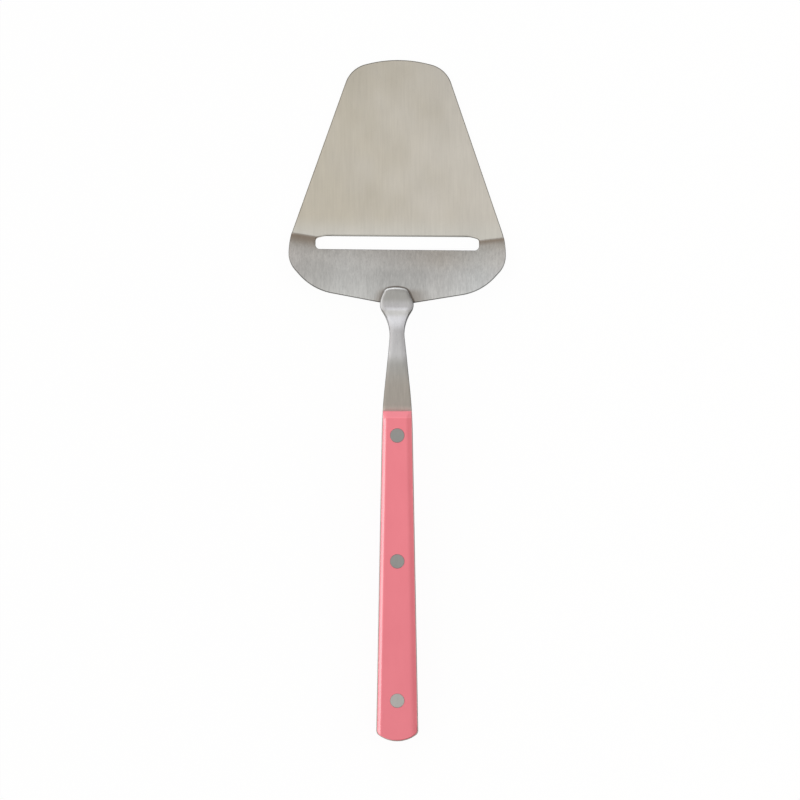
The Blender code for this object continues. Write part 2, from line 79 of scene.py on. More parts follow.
# Sheet, the bend behind the crease, and how far the head is set askew
SHEET_THICKNESS = 0.0012
SHEET_EDGE_ROUND = 0.00028
CREASE_DROP = 0.00078
CREASE_SKEW = math.radians(7.9)
CREASE_TURN = math.radians(1.0)
CREASE_ROUND = 0.0005
CREASE_SHARES = (-1.0, -0.6, -0.2, 0.2, 0.6, 1.0)
THROAT_ANGLE = math.radians(22.0)
HEEL_ANGLE = math.radians(3.0)
BEND_ROWS = 34
GRIND_ROWS = 8
PLATE_COLUMNS = 16
HEAD_TURN = math.radians(0.42)
HEAD_PIVOT = 0.0647
REAR_TURN = math.radians(0.4)
REAR_TURN_RUN = 0.0120

# Shank: paddle on the plate, neck, and the full tang between the scales
PADDLE_OVERLAP = 0.0064
PADDLE_TOP_WIDTH = 0.0078
PADDLE_LEAN = 0.00025
PADDLE_LEAN_RUN = 0.0040
PADDLE_CROWN = 0.0007
PADDLE_CROWN_RADIUS = 0.0140
PADDLE_CORNER_RADIUS = 0.0022
PADDLE_THICKNESS = 0.0017
PADDLE_ROWS = 8
SHOULDER_WIDTH = 0.0131
SHOULDER_RADIUS = 0.0049
SHOULDER_TAPER = 0.0073
NECK_WIDTH = 0.0043
NECK_RADIUS = 0.0151
NECK_LENGTH = 0.0369
NECK_THICKNESS = 0.0032
NECK_THICKEN_OVERRUN = 0.0030
NECK_FOOT_PULL = 0.0060
NECK_TOP_PULL = 0.0300
NECK_ROWS = 44
TANG_ROWS = 2
NECK_EASE = 0.0012
NECK_EASE_SHARES = (-1.0, -0.5, 0.0, 0.5, 1.0)
TANG_FRONT_WIDTH = 0.01062
TANG_FRONT_RADIUS = 0.1900
TANG_THICKNESS = 0.0025
SHANK_FOOT_ROUND = 0.0003
SHANK_EDGE_ROUND = 0.00018
SHANK_RIM_RINGS = (0.00004, 0.00010, 0.00018, 0.00030, 0.00050, 0.00075, 0.00105, 0.00140, 0.00180)

# How far in from its outline the shank's top falls off, and how deep
PADDLE_RIM = (0.0013, 0.00054)
NECK_RIM = (0.0021, 0.00040)
TANG_RIM = (0.0009, 0.00010)

# Handle scales
HANDLE_LENGTH = 0.1167
BUTT_WIDTH = 0.01482
BUTT_CROWN = 0.0050
BUTT_RADIUS = 0.0109
BUTT_CORNER_RADIUS = 0.0020
HALF_GRIP = 0.0055
SCALE_INSET = 0.0003
SCALE_BUTT_INSET = 0.00058
SCALE_LEAD = 0.00014
SCALE_END_LENGTH = 0.0024
SCALE_END_DEPTH = 0.00080
SCALE_END_SOFT = 0.00012
SCALE_EDGE_ROUND = 0.00030
SCALE_RIM_RINGS = (0.00003, 0.00008, 0.00014, 0.00021, 0.00030, 0.00040)
SCALE_EDGE_BAND = 0.00030

# Planed sides of a scale: side, width, depth, and how far the ridge is softened at the front and the butt
SCALE_BEVELS = (
    (1.0, 0.00175, 0.0011, 0.0004, 0.0008),
    (-1.0, 0.00130, 0.00075, 0.0003, 0.0003),
)
SIDE_RIDGE_SHARES = (-1.0, -0.75, -0.5, -0.25, 0.0, 0.25, 0.5, 0.75, 1.0)
FRONT_RIDGE_SHARES = (-1.0, -0.33, 0.33, 1.0)
CORNER_SHARES = (-1.0, 0.0, 1.0)

# Rivets, measured from the front of the scales and from the butt
RIVET_HEAD_RADIUS = 0.0025
RIVET_HEAD_HEIGHT = 0.0011
RIVET_TUBE_RADIUS = 0.0016
RIVET_PIN_RADIUS = 0.0008
RIVET_EDGE_ROUND = 0.00012
FRONT_RIVET_INSET = 0.0086
MIDDLE_RIVET_INSET = 0.0529
REAR_RIVET_INSET = 0.0146
RIVET_LEAD = 0.00028

# Fits, facets and shading
CONTACT_GAP = 0.00003
CUT_OVERRUN = 0.0010
ON_LINE = 0.000001
FACING = 0.5
SEAT_ROUNDS = 4
HALVINGS = 40
ARC_SEGMENTS = 18
EDGE_SEGMENTS = 3
ROUND_SIDES = 64
SHARP_ANGLE = math.radians(50.0)
SMOOTH_ANGLE = math.radians(40.0)
FLAT_WEIGHT = 80
ROUND_WEIGHT = 50

# Places taken from the frame: the tip, and the line through the middles of the front and rear rivets
TIP_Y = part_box("blade_plate")[1].y
EDGE_Y = TIP_Y - SPADE_LENGTH
CREASE_Y = EDGE_Y - CREASE_DROP
EDGE_TO_HEEL = EAR_DROP + EAR_HEIGHT + EAR_SLOPE_HEIGHT + HEEL_SWEEP
HEEL_Y = EDGE_Y - EDGE_TO_HEEL
WAIST_Y = HEEL_Y - SHOULDER_TAPER
SLOT_HALF = HEAD_WIDTH / 2.0 - BRIDGE_WIDTH
GRIND_END = SLOT_HALF - SLOT_SHOULDER_LENGTH
BEND_LENGTH = EDGE_TO_HEEL - CREASE_DROP
BEND_RADIUS = BEND_LENGTH / (math.sin(THROAT_ANGLE) - math.sin(HEEL_ANGLE))
RIVET_STATIONS = {
    "front": FRONT_RIVET_INSET - RIVET_LEAD,
    "middle": MIDDLE_RIVET_INSET - RIVET_LEAD,
    "rear": HANDLE_LENGTH - REAR_RIVET_INSET - RIVET_LEAD,
}


def rivet_middle(name):
    """Middle of a rivet, from the boxes of its two halves."""
    tube_low, tube_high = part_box("rivet_tube_" + name)
    pin_low, pin_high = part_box("rivet_pin_" + name)
    low = Vector(map(min, tube_low, pin_low))
    high = Vector(map(max, tube_high, pin_high))
    return (low + high) / 2.0


FRONT_MIDDLE = rivet_middle("front")
REAR_MIDDLE = rivet_middle("rear")
HANDLE_TILT = math.atan2(FRONT_MIDDLE.z - REAR_MIDDLE.z, FRONT_MIDDLE.y - REAR_MIDDLE.y)
HANDLE_FRAME = (Matrix.Translation(FRONT_MIDDLE) @ Matrix.Rotation(HANDLE_TILT, 4, "X")
                @ Matrix.Translation((0.0, FRONT_RIVET_INSET, 0.0)))
SCALE_FRONT = HANDLE_FRAME.translation
BUTT_Y = SCALE_FRONT.y - HANDLE_LENGTH

# The head is set a little askew on the neck
HEAD_FRAME = (Matrix.Translation((0.0, TIP_Y - HEAD_PIVOT, 0.0)) @ Matrix.Rotation(-HEAD_TURN, 4, "Z")
              @ Matrix.Translation((0.0, HEAD_PIVOT - TIP_Y, 0.0)))


def eased(share):
    """A share kept between 0 and 1, with a soft start and end."""
    share = min(1.0, max(0.0, share))
    return share * share * (3.0 - 2.0 * share)


def only(piece):
    """Selects one piece and nothing else."""
    bpy.ops.object.select_all(action="DESELECT")
    piece.select_set(True)
    bpy.context.view_layer.objects.active = piece


def edit(piece):
    """Opens a piece in edit mode."""
    only(piece)
    bpy.ops.object.mode_set(mode="EDIT")


def leave():
    """Closes edit mode."""
    bpy.ops.object.mode_set(mode="OBJECT")


def choose(kind, wanted):
    """Selects the verts, edges or faces of the mesh being edited that pass a test."""
    mesh = bpy.context.object.data
    bpy.ops.mesh.select_mode(type=kind)
    bpy.ops.mesh.select_all(action="DESELECT")
    bm = bmesh.from_edit_mesh(mesh)
    bm.normal_update()
    for item in {"VERT": bm.verts, "EDGE": bm.edges, "FACE": bm.faces}[kind]:
        if wanted(item):
            item.select_set(True)
    bm.select_flush_mode()
    bmesh.update_edit_mesh(mesh)


def everything(_item):
    """The test that all of a mesh passes."""
    return True


def cut(place, normal, wanted=everything):
    """Scores the faces that pass a test along a plane."""
    choose("FACE", wanted)
    bpy.ops.mesh.bisect(plane_co=place, plane_no=normal, threshold=ON_LINE)


def extrude(height):
    """Extrudes what is selected along Z."""
    bpy.ops.mesh.extrude_region_move(TRANSFORM_OT_translate={"value": (0.0, 0.0, height)})


def point_outwards():
    """Turns the faces of the mesh being edited outwards."""
    choose("FACE", everything)
    bpy.ops.mesh.normals_make_consistent(inside=False)


def symmetric(corners):
    """Closes a right-hand run of (x, y, radius) corners, from axis to axis, with its mirror image."""
    left = [(-x, y, radius) for x, y, radius in reversed(corners) if x > ON_LINE]
    return corners + left


def crown_peak(width, crown, radius):
    """How far the sharp peak of a crowned end stands past the arc that rounds it."""
    slope = math.atan2(crown, width / 2.0)
    return radius * (1.0 / math.cos(slope) - 1.0)


def outline(corners, inset=0.0):
    """Points of a closed outline with its corners rounded, or of the same outline further in."""
    points = [Vector((x, y)) for x, y, radius in corners]
    ahead = [(points[(i + 1) % len(points)] - point) for i, point in enumerate(points)]
    winding = math.copysign(1.0, sum(ahead[i - 1].cross(ahead[i]) for i in range(len(points))))
    halves = [ahead[i - 1].angle(ahead[i]) / 2.0 for i in range(len(points))]
    reaches = [corner[2] * math.tan(half) for corner, half in zip(corners, halves)]
    for i, run in enumerate(ahead):
        after = (i + 1) % len(points)
        fit = run.length / max(ON_LINE, reaches[i] + reaches[after])
        if fit < 1.0:
            reaches[i] *= fit
            reaches[after] *= fit
    rounded = []
    for i, (point, half, reach) in enumerate(zip(points, halves, reaches)):
        if reach < ON_LINE:
            inwards = ahead[i].normalized() - ahead[i - 1].normalized()
            rounded.append(point + inwards.normalized() * inset / math.cos(half))
            continue
        radius = reach / math.tan(half)
        start = point - ahead[i - 1].normalized() * reach
        end = point + ahead[i].normalized() * reach
        centre = point + ((start + end) / 2.0 - point).normalized() * radius / math.cos(half)
        convex = math.copysign(1.0, ahead[i - 1].cross(ahead[i])) * winding
        for step in range(ARC_SEGMENTS + 1):
            spoke = (start - centre).normalized().slerp((end - centre).normalized(), step / ARC_SEGMENTS)
            rounded.append(centre + spoke * (radius - convex * inset))
    return rounded


def add_blank(name, corners, bottom, thickness):
    """A flat blank: a ring with its points on a rounded outline, raised to a slab."""
    points = outline(corners)
    bpy.ops.mesh.primitive_circle_add(vertices=len(points), radius=HEAD_WIDTH, fill_type="NGON")
    blank = bpy.context.object
    blank.name = name
    for vert, point in zip(blank.data.vertices, points):
        vert.co = (*point, bottom)
    edit(blank)
    choose("VERT", everything)
    bpy.ops.mesh.remove_doubles(threshold=ON_LINE)
    choose("FACE", everything)
    extrude(thickness)
    point_outwards()
    leave()
    return blank


def apply_modifier(piece, kind, **settings):
    """Adds a modifier with its settings and applies it."""
    only(piece)
    bpy.ops.object.modifier_add(type=kind)
    modifier = piece.modifiers[-1]
    for name, value in settings.items():
        setattr(modifier, name, value)
    bpy.ops.object.modifier_apply(modifier=modifier.name)


def cut_out(piece, cutters):
    """Cuts shapes out of a piece and removes the cutters."""
    for cutter in cutters:
        apply_modifier(piece, "BOOLEAN", operation="DIFFERENCE", object=cutter, solver="EXACT")
        bpy.data.objects.remove(cutter)


def mark_edges(piece, worn):
    """Marks the faces of the mesh being edited that pass a test as edge, for their finish."""
    bm = bmesh.from_edit_mesh(piece.data)
    mark = bm.faces.layers.float.get("edge") or bm.faces.layers.float.new("edge")
    bm.normal_update()
    for face in bm.faces:
        if worn(face):
            face[mark] = 1.0
    bmesh.update_edit_mesh(piece.data)


def round_sharp_edges(piece, width, wanted=everything):
    """Rounds the sharp edges that pass a test, and marks the rounding as edge."""
    edit(piece)
    choose("EDGE", lambda edge: edge.is_manifold and edge.calc_face_angle() > SHARP_ANGLE and wanted(edge))
    bpy.ops.mesh.bevel(affect="EDGES", offset=width, segments=EDGE_SEGMENTS, profile=0.5,
                       clamp_overlap=False)
    mark_edges(piece, lambda face: face.select)
    point_outwards()
    leave()


def copy_piece(model, name):
    """A copy of a piece with its own mesh."""
    piece = model.copy()
    piece.data = model.data.copy()
    piece.name = name
    bpy.context.collection.objects.link(piece)
    return piece


def set_down(piece, place):
    """Moves a piece to its place and puts that place into its mesh."""
    only(piece)
    piece.matrix_world = place
    bpy.ops.object.transform_apply(location=True, rotation=True, scale=True)


def dress(piece, material, slot, *nodes, weight=FLAT_WEIGHT):
    """Shades a finished piece, lays its brush map, gives it its material and ties it to the frame."""
    only(piece)
    bpy.ops.object.shade_smooth_by_angle(angle=SMOOTH_ANGLE)
    apply_modifier(piece, "WEIGHTED_NORMAL", keep_sharp=True, weight=weight)
    mesh = piece.data
    for layer in list(mesh.uv_layers):
        mesh.uv_layers.remove(layer)
    brush = mesh.uv_layers.new(name="brush")
    for loop in mesh.loops:
        point = mesh.vertices[loop.vertex_index].co
        brush.data[loop.index].uv = (point.x / HEAD_WIDTH + 0.5, point.y / HEAD_WIDTH + 0.5)
    mesh.materials.clear()
    mesh.materials.append(material)
    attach(piece, "root")
    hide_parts(*nodes)


def bend(depth):
    """Height and slope of the plate's underside at a plan distance behind the crease."""
    if depth <= -CREASE_ROUND:
        return 0.0, 0.0
    if depth < CREASE_ROUND:
        angle = THROAT_ANGLE * (depth + CREASE_ROUND) / (2.0 * CREASE_ROUND)
        return -math.log(math.cos(angle)) * 2.0 * CREASE_ROUND / THROAT_ANGLE, angle
    angle = math.asin(math.sin(THROAT_ANGLE) - depth / BEND_RADIUS)
    return BEND_RADIUS * (math.cos(angle) - math.cos(THROAT_ANGLE)), angle


def grind_loss(x, y):
    """How much the grind takes off the top of the sheet: most at the edge, fading up and to the ends."""
    up = (y - EDGE_Y) / GRIND_WIDTH
    if up < -ON_LINE / GRIND_WIDTH or up > 1.0:
        return 0.0
    return (SHEET_THICKNESS - EDGE_LAND) * (1.0 - up) ** 2 * eased((GRIND_END - abs(x)) / GRIND_RUNOUT)


def crease_line(x):
    """Where the crease crosses the plate: a little turned, and running forward over the bridges."""
    return CREASE_Y - math.tan(CREASE_TURN) * x + math.tan(CREASE_SKEW) * max(0.0, abs(x) - SLOT_HALF)


def press_plate(piece):
    """Grinds the cutting edge and presses the bend into the flat plate."""
    for vert in piece.data.vertices:
        x, y, up = vert.co
        if up > SHEET_THICKNESS / 2.0:
            up = max(EDGE_LAND, up - grind_loss(x, y))
        fade = min(1.0, max(0.0, (y - HEEL_Y) / BEND_LENGTH))
        height, angle = bend(CREASE_Y + (crease_line(x) - CREASE_Y) * fade - y)
        askew = x * math.tan(REAR_TURN) * eased((EDGE_Y - y) / REAR_TURN_RUN)
        vert.co = (x, y + up * math.sin(angle) - askew, height + up * math.cos(angle))


def score_plate():
    """Scores the plate in columns, along its grind and bend, and along the crease on its bridges."""
    for column in range(1 - PLATE_COLUMNS, PLATE_COLUMNS):
        cut((HEAD_WIDTH / 2.0 * column / PLATE_COLUMNS, 0.0, 0.0), (1.0, 0.0, 0.0))
    for row in range(1, GRIND_ROWS + 1):
        cut((0.0, EDGE_Y + GRIND_WIDTH * row / GRIND_ROWS, 0.0), (0.0, 1.0, 0.0))
    for side in (1.0, -1.0):
        lean = side * math.tan(CREASE_SKEW) - math.tan(CREASE_TURN)
        start = side * SLOT_HALF
        for share in CREASE_SHARES:
            cut((start, crease_line(start) - CREASE_ROUND * share, 0.0), (-lean, 1.0, 0.0),
                lambda face: side * face.calc_center_median().x > GRIND_END)
    for row in range(1, BEND_ROWS):
        cut((0.0, CREASE_Y - BEND_LENGTH * row / BEND_ROWS, 0.0), (0.0, 1.0, 0.0))


def make_plate(material):
    """The blade plate: a blank with its slot, scored in rows, ground, pressed and set askew."""
    peak = TIP_Y + crown_peak(TIP_WIDTH, TIP_CROWN, TIP_CROWN_RADIUS)
    ear_x = HEAD_WIDTH / 2.0
    ear_y = EDGE_Y - EAR_DROP
    plate = add_blank("blade_plate_steel", symmetric([
        (0.0, peak, TIP_CROWN_RADIUS),
        (TIP_WIDTH / 2.0, peak - TIP_CROWN, TIP_CORNER_RADIUS),
        (ear_x, ear_y, EAR_TOP_RADIUS),
        (ear_x, ear_y - EAR_HEIGHT, EAR_SIDE_RADIUS),
        (ear_x - EAR_SLOPE_WIDTH, HEEL_Y + HEEL_SWEEP, EAR_LOW_RADIUS),
        (0.0, HEEL_Y, HEEL_RADIUS),
    ]), 0.0, SHEET_THICKNESS)
    throat_lean = SHEET_THICKNESS * math.sin(bend(SLOT_WIDTH - CREASE_DROP)[1])
    throat_y = EDGE_Y - SLOT_WIDTH - throat_lean
    slot = add_blank("slot", symmetric([
        (GRIND_END, EDGE_Y, SLOT_SHOULDER_RADIUS),
        (SLOT_HALF, EDGE_Y - SLOT_SHOULDER_DROP, SLOT_CORNER_RADIUS),
        (SLOT_HALF, throat_y, THROAT_CORNER_RADIUS),
    ]), -CUT_OVERRUN, SHEET_THICKNESS + 2.0 * CUT_OVERRUN)
    cut_out(plate, [slot])

    def off_slot_underside(edge):
        middle = (edge.verts[0].co + edge.verts[1].co) / 2.0
        in_slot = abs(middle.x) < SLOT_HALF + ON_LINE and throat_y - ON_LINE < middle.y < EDGE_Y + ON_LINE
        return middle.z > SHEET_THICKNESS / 2.0 or not in_slot

    round_sharp_edges(plate, SHEET_EDGE_ROUND, off_slot_underside)
    edit(plate)
    score_plate()
    leave()
    press_plate(plate)
    set_down(plate, HEAD_FRAME)
    dress(plate, material, "plate_steel", "blade_plate")


def handle_corners(inset, butt_inset):
    """Right-hand corners of the handle as (x, distance behind its front, radius), inset from the tang."""
    peak = HANDLE_LENGTH + crown_peak(BUTT_WIDTH, BUTT_CROWN, BUTT_RADIUS)
    return [
        (TANG_FRONT_WIDTH / 2.0 - inset, 0.0, TANG_FRONT_RADIUS),
        (BUTT_WIDTH / 2.0 - inset, peak - BUTT_CROWN - butt_inset, BUTT_CORNER_RADIUS),
        (0.0, peak - butt_inset, BUTT_RADIUS),
    ]


def on_handle(along, height):
    """World (y, z) of a point behind the front of the scales and above the tang's middle."""
    point = HANDLE_FRAME @ Vector((0.0, -along, height))
    return Vector((point.y, point.z))


def paddle_underside(y):
    """Height of the paddle's underside, which lies on the bent plate."""
    seat = SHEET_THICKNESS + CONTACT_GAP
    depth = CREASE_Y - y
    for _ in range(SEAT_ROUNDS):
        depth = CREASE_Y - y + seat * math.sin(bend(depth)[1])
    height, angle = bend(depth)
    return height + seat * math.cos(angle)


def neck_underside(y):
    """Height of the neck's underside: a cubic curve from the heel of the plate up to the tang."""
    foot = Vector((HEEL_Y, paddle_underside(HEEL_Y)))
    top = on_handle(0.0, -TANG_THICKNESS / 2.0)
    foot_pull = foot + NECK_FOOT_PULL * Vector((-math.cos(HEEL_ANGLE), math.sin(HEEL_ANGLE)))
    top_pull = top + NECK_TOP_PULL * Vector((math.cos(HANDLE_TILT), math.sin(HANDLE_TILT)))
    low, high = 0.0, 1.0
    for _ in range(HALVINGS):
        t = (low + high) / 2.0
        s = 1.0 - t
        point = s ** 3 * foot + 3.0 * s * s * t * foot_pull + 3.0 * s * t * t * top_pull + t ** 3 * top
        if point.x > y:
            low = t
        else:
            high = t
    return point.y


def underside_line(y):
    """Height of the shank's underside anywhere along the slicer, with its bends unsoftened."""
    tang_front = on_handle(0.0, -TANG_THICKNESS / 2.0)
    if y > HEEL_Y:
        return paddle_underside(y)
    if y > tang_front.x:
        return neck_underside(y)
    return tang_front.y + (y - tang_front.x) * math.tan(HANDLE_TILT)


def shank_underside(y):
    """Height of the shank's underside anywhere along the slicer."""
    return sum(underside_line(y + NECK_EASE * share) for share in NECK_EASE_SHARES) / len(NECK_EASE_SHARES)


def shank_thickness(y):
    """Thickness of the shank: thin at the paddle, thickest past the waist of the neck, then the tang's."""
    thin = HEEL_Y + NECK_THICKEN_OVERRUN
    thick = WAIST_Y - NECK_THICKEN_OVERRUN
    if y > thick:
        share = eased((thin - y) / (thin - thick))
        return PADDLE_THICKNESS + (NECK_THICKNESS - PADDLE_THICKNESS) * share
    share = min(1.0, (thick - y) / (thick - SCALE_FRONT.y))
    return NECK_THICKNESS + (TANG_THICKNESS - NECK_THICKNESS) * share


def shank_rim(y):
    """How far in from the shank's outline its top falls off, and how deep: steepest at the paddle."""
    if y > WAIST_Y:
        start = HEEL_Y + PADDLE_OVERLAP / 2.0
        share = min(1.0, max(0.0, (start - y) / (start - WAIST_Y)))
        return Vector(PADDLE_RIM).lerp(Vector(NECK_RIM), share)
    third = (WAIST_Y - SCALE_FRONT.y) / 3.0
    share = min(1.0, max(0.0, (WAIST_Y - y) / third - 1.0))
    return Vector(NECK_RIM).lerp(Vector(TANG_RIM), share)


def edge_fall(rim, radius):
    """How far a rounded edge has fallen at a distance from the rim."""
    short = max(0.0, 1.0 - rim / radius)
    return radius * (1.0 - math.sqrt(1.0 - short * short))


def press_shank(piece):
    """Bends the flat shank along its length, draws it to its thickness and rounds its top."""
    quarter_row = NECK_LENGTH / NECK_ROWS / 4.0
    rims = piece.data.attributes["rim"].data
    for vert, rim in zip(piece.data.vertices, rims):
        x, y, up = vert.co
        rise = shank_underside(y + quarter_row) - shank_underside(y - quarter_row)
        angle = math.atan(rise / (2.0 * quarter_row))
        reach, depth = shank_rim(y)
        short = max(0.0, 1.0 - rim.value / reach)
        loss = depth * short * short + edge_fall(rim.value, SHANK_EDGE_ROUND)
        lift = up * (shank_thickness(y) - loss)
        x -= PADDLE_LEAN * eased((y - HEEL_Y) / PADDLE_LEAN_RUN)
        pressed = Vector((x, y - lift * math.sin(angle), shank_underside(y) + lift * math.cos(angle)))
        turned = eased(1.0 - (HEEL_Y - y) / (NECK_LENGTH / 2.0))
        vert.co = pressed.lerp(HEAD_FRAME @ pressed, turned)


def ring_top(piece, corners, rings, edge_band):
    """Lays rings inside the outline of a slab's top, each point keeping its distance from the rim."""
    edit(piece)
    bmesh.from_edit_mesh(piece.data).verts.layers.float.new("rim")
    choose("FACE", lambda face: face.normal.z > FACING)
    laid = outline(corners)
    for ring in rings:
        further_in = outline(corners, ring)
        bpy.ops.mesh.extrude_region_move()
        bm = bmesh.from_edit_mesh(piece.data)
        rim = bm.verts.layers.float["rim"]
        for vert in bm.verts:
            if vert.select:
                nearest = min(range(len(laid)), key=lambda i: (laid[i] - vert.co.xy).length_squared)
                vert.co.xy = further_in[nearest]
                vert[rim] = ring
        laid = further_in
    point_outwards()
    rim = bmesh.from_edit_mesh(piece.data).verts.layers.float["rim"]

    def in_band(face):
        return face.normal.z > -FACING and max(vert[rim] for vert in face.verts) < edge_band + ON_LINE

    mark_edges(piece, in_band)
    leave()


def make_shank(material):
    """The shank: a blank with paddle, neck and tang, ringed, scored in rows, bent, rounded and bored."""
    peak = HEEL_Y + PADDLE_OVERLAP + crown_peak(PADDLE_TOP_WIDTH, PADDLE_CROWN, PADDLE_CROWN_RADIUS)
    corners = [
        (0.0, peak, PADDLE_CROWN_RADIUS),
        (PADDLE_TOP_WIDTH / 2.0, peak - PADDLE_CROWN, PADDLE_CORNER_RADIUS),
        (SHOULDER_WIDTH / 2.0, HEEL_Y, SHOULDER_RADIUS),
        (NECK_WIDTH / 2.0, WAIST_Y, NECK_RADIUS),
    ]
    for x, along, radius in handle_corners(0.0, 0.0):
        corners.append((x, on_handle(along, -TANG_THICKNESS / 2.0).x, radius))
    corners = symmetric(corners)
    shank = add_blank("shank_steel", corners, 0.0, 1.0)
    ring_top(shank, corners, SHANK_RIM_RINGS, SHANK_EDGE_ROUND)
    edit(shank)
    rows = [HEEL_Y + PADDLE_OVERLAP * row / PADDLE_ROWS for row in range(PADDLE_ROWS)]
    rows += [HEEL_Y - NECK_LENGTH * row / NECK_ROWS for row in range(1, NECK_ROWS + TANG_ROWS + 1)]
    for row in rows:
        cut((0.0, row, 0.0), (0.0, 1.0, 0.0))
    leave()
    press_shank(shank)
    round_sharp_edges(shank, SHANK_FOOT_ROUND)
    bores = add_bores(HALF_GRIP)
    for bore in bores:
        set_down(bore, HANDLE_FRAME)
    cut_out(shank, bores)
    dress(shank, material, "shank_steel", "shank", weight=ROUND_WEIGHT)


def add_post(name, head_radius, head_top, head_bottom, stem_radius, stem_end):
    """A round head on a thinner stem, standing on the handle's own Z axis."""
    bpy.ops.mesh.primitive_cylinder_add(
        vertices=ROUND_SIDES, radius=head_radius, depth=head_top - head_bottom,
        location=(0.0, 0.0, (head_top + head_bottom) / 2.0))
    post = bpy.context.object
    post.name = name
    bpy.ops.object.transform_apply(location=True, rotation=True, scale=True)
    edit(post)
    choose("FACE", lambda face: face.normal.z < -FACING)
    bpy.ops.mesh.inset(thickness=head_radius - stem_radius, depth=0.0)
    extrude(stem_end - head_bottom)
    leave()
    return post


def add_bores(reach):
    """Cutters for the three rivets, from the top of the handle down to a reach below the tang's middle."""
    bores = []
    for name, along in RIVET_STATIONS.items():
        bore = add_post("bore_" + name, RIVET_HEAD_RADIUS + CONTACT_GAP, HALF_GRIP + CUT_OVERRUN,
                        HALF_GRIP - RIVET_HEAD_HEIGHT - CONTACT_GAP, RIVET_TUBE_RADIUS + CONTACT_GAP, -reach)
        set_down(bore, Matrix.Translation((0.0, -along, 0.0)))
        bores.append(bore)
    return bores


def side_point(side, gap, along):
    """Plan point a gap in from a scale's side line, at a distance behind its front."""
    front, butt = handle_corners(SCALE_INSET, SCALE_BUTT_INSET)[:2]
    run = Vector((butt[0] - front[0], butt[1])).normalized()
    reach = front[0] + (butt[0] - front[0]) * along / butt[1] - gap / run.y
    return Vector((side * reach, -along))


def soft_min(first, second, spread):
    """The lower of two heights, blended where they differ by less than a spread."""
    near = max(0.0, spread - abs(first - second))
    return min(first, second) - near * near / (4.0 * spread)


def scale_drop(x, along, rim):
    """How far a scale's top lies below its flat: planed sides and front, soft ridges and a rounded rim."""
    drop = 0.0
    for side, width, depth, soft_front, soft_butt in SCALE_BEVELS:
        gap = side_point(side, 0.0, along).x * side - x * side
        soft = soft_front + (soft_butt - soft_front) * along / HANDLE_LENGTH
        drop = soft_min(drop, (gap - width) * depth / width, soft * depth / width)
    slope = SCALE_END_DEPTH / SCALE_END_LENGTH
    drop = soft_min(drop, (along - SCALE_END_LENGTH) * slope, SCALE_END_SOFT * slope)
    return drop - edge_fall(rim, SCALE_EDGE_ROUND)


def score_scale():
    """Scores a scale's slab along its ridges, across its front and along the two corners between them."""
    for side, width, depth, soft_front, soft_butt in SCALE_BEVELS:
        for share in SIDE_RIDGE_SHARES:
            front = side_point(side, width + share * soft_front, 0.0)
            butt = side_point(side, width + share * soft_butt, HANDLE_LENGTH)
            cut((*front, 0.0), (front.y - butt.y, butt.x - front.x, 0.0))
    for share in FRONT_RIDGE_SHARES:
        cut((0.0, -SCALE_END_LENGTH - share * SCALE_END_SOFT, 0.0), (0.0, 1.0, 0.0))
    for side, width, depth, _, _ in SCALE_BEVELS:
        corner_start = SCALE_END_LENGTH * (1.0 - depth / SCALE_END_DEPTH)
        for share in CORNER_SHARES:
            outer = side_point(side, 0.0, corner_start + share * SCALE_END_SOFT)
            inner = side_point(side, width, SCALE_END_LENGTH + share * SCALE_END_SOFT)
            cut((*inner, 0.0), (outer.y - inner.y, inner.x - outer.x, 0.0),
                lambda face: face.calc_center_median().y > -SCALE_END_LENGTH - SCALE_END_SOFT
                and side * face.calc_center_median().x > 0.0)


def make_scales(material):
    """The two handle scales: a slab ringed, scored, planed and rounded, bored, copied and turned over."""
    corners = []
    for x, along, radius in handle_corners(SCALE_INSET, SCALE_BUTT_INSET):
        corners.append((x, -along, radius) if along > 0.0 else (x, SCALE_LEAD, 0.0))
    corners = symmetric(corners)
    seat = TANG_THICKNESS / 2.0 + CONTACT_GAP
    scale = add_blank("front_scale_plastic", corners, seat, HALF_GRIP - seat)
    ring_top(scale, corners, SCALE_RIM_RINGS, SCALE_EDGE_BAND)
    edit(scale)
    score_scale()
    leave()
    for vert, rim in zip(scale.data.vertices, scale.data.attributes["rim"].data):
        if vert.co.z > HALF_GRIP - ON_LINE:
            vert.co.z += scale_drop(vert.co.x, -vert.co.y, rim.value)
    cut_out(scale, add_bores(CUT_OVERRUN))
    back = copy_piece(scale, "back_scale_plastic")
    set_down(scale, HANDLE_FRAME)
    set_down(back, HANDLE_FRAME @ Matrix.Rotation(math.pi, 4, "Y"))
    dress(scale, material, "handle_plastic", "front_scale")
    dress(back, material, "handle_plastic", "back_scale")
    return [scale, back]


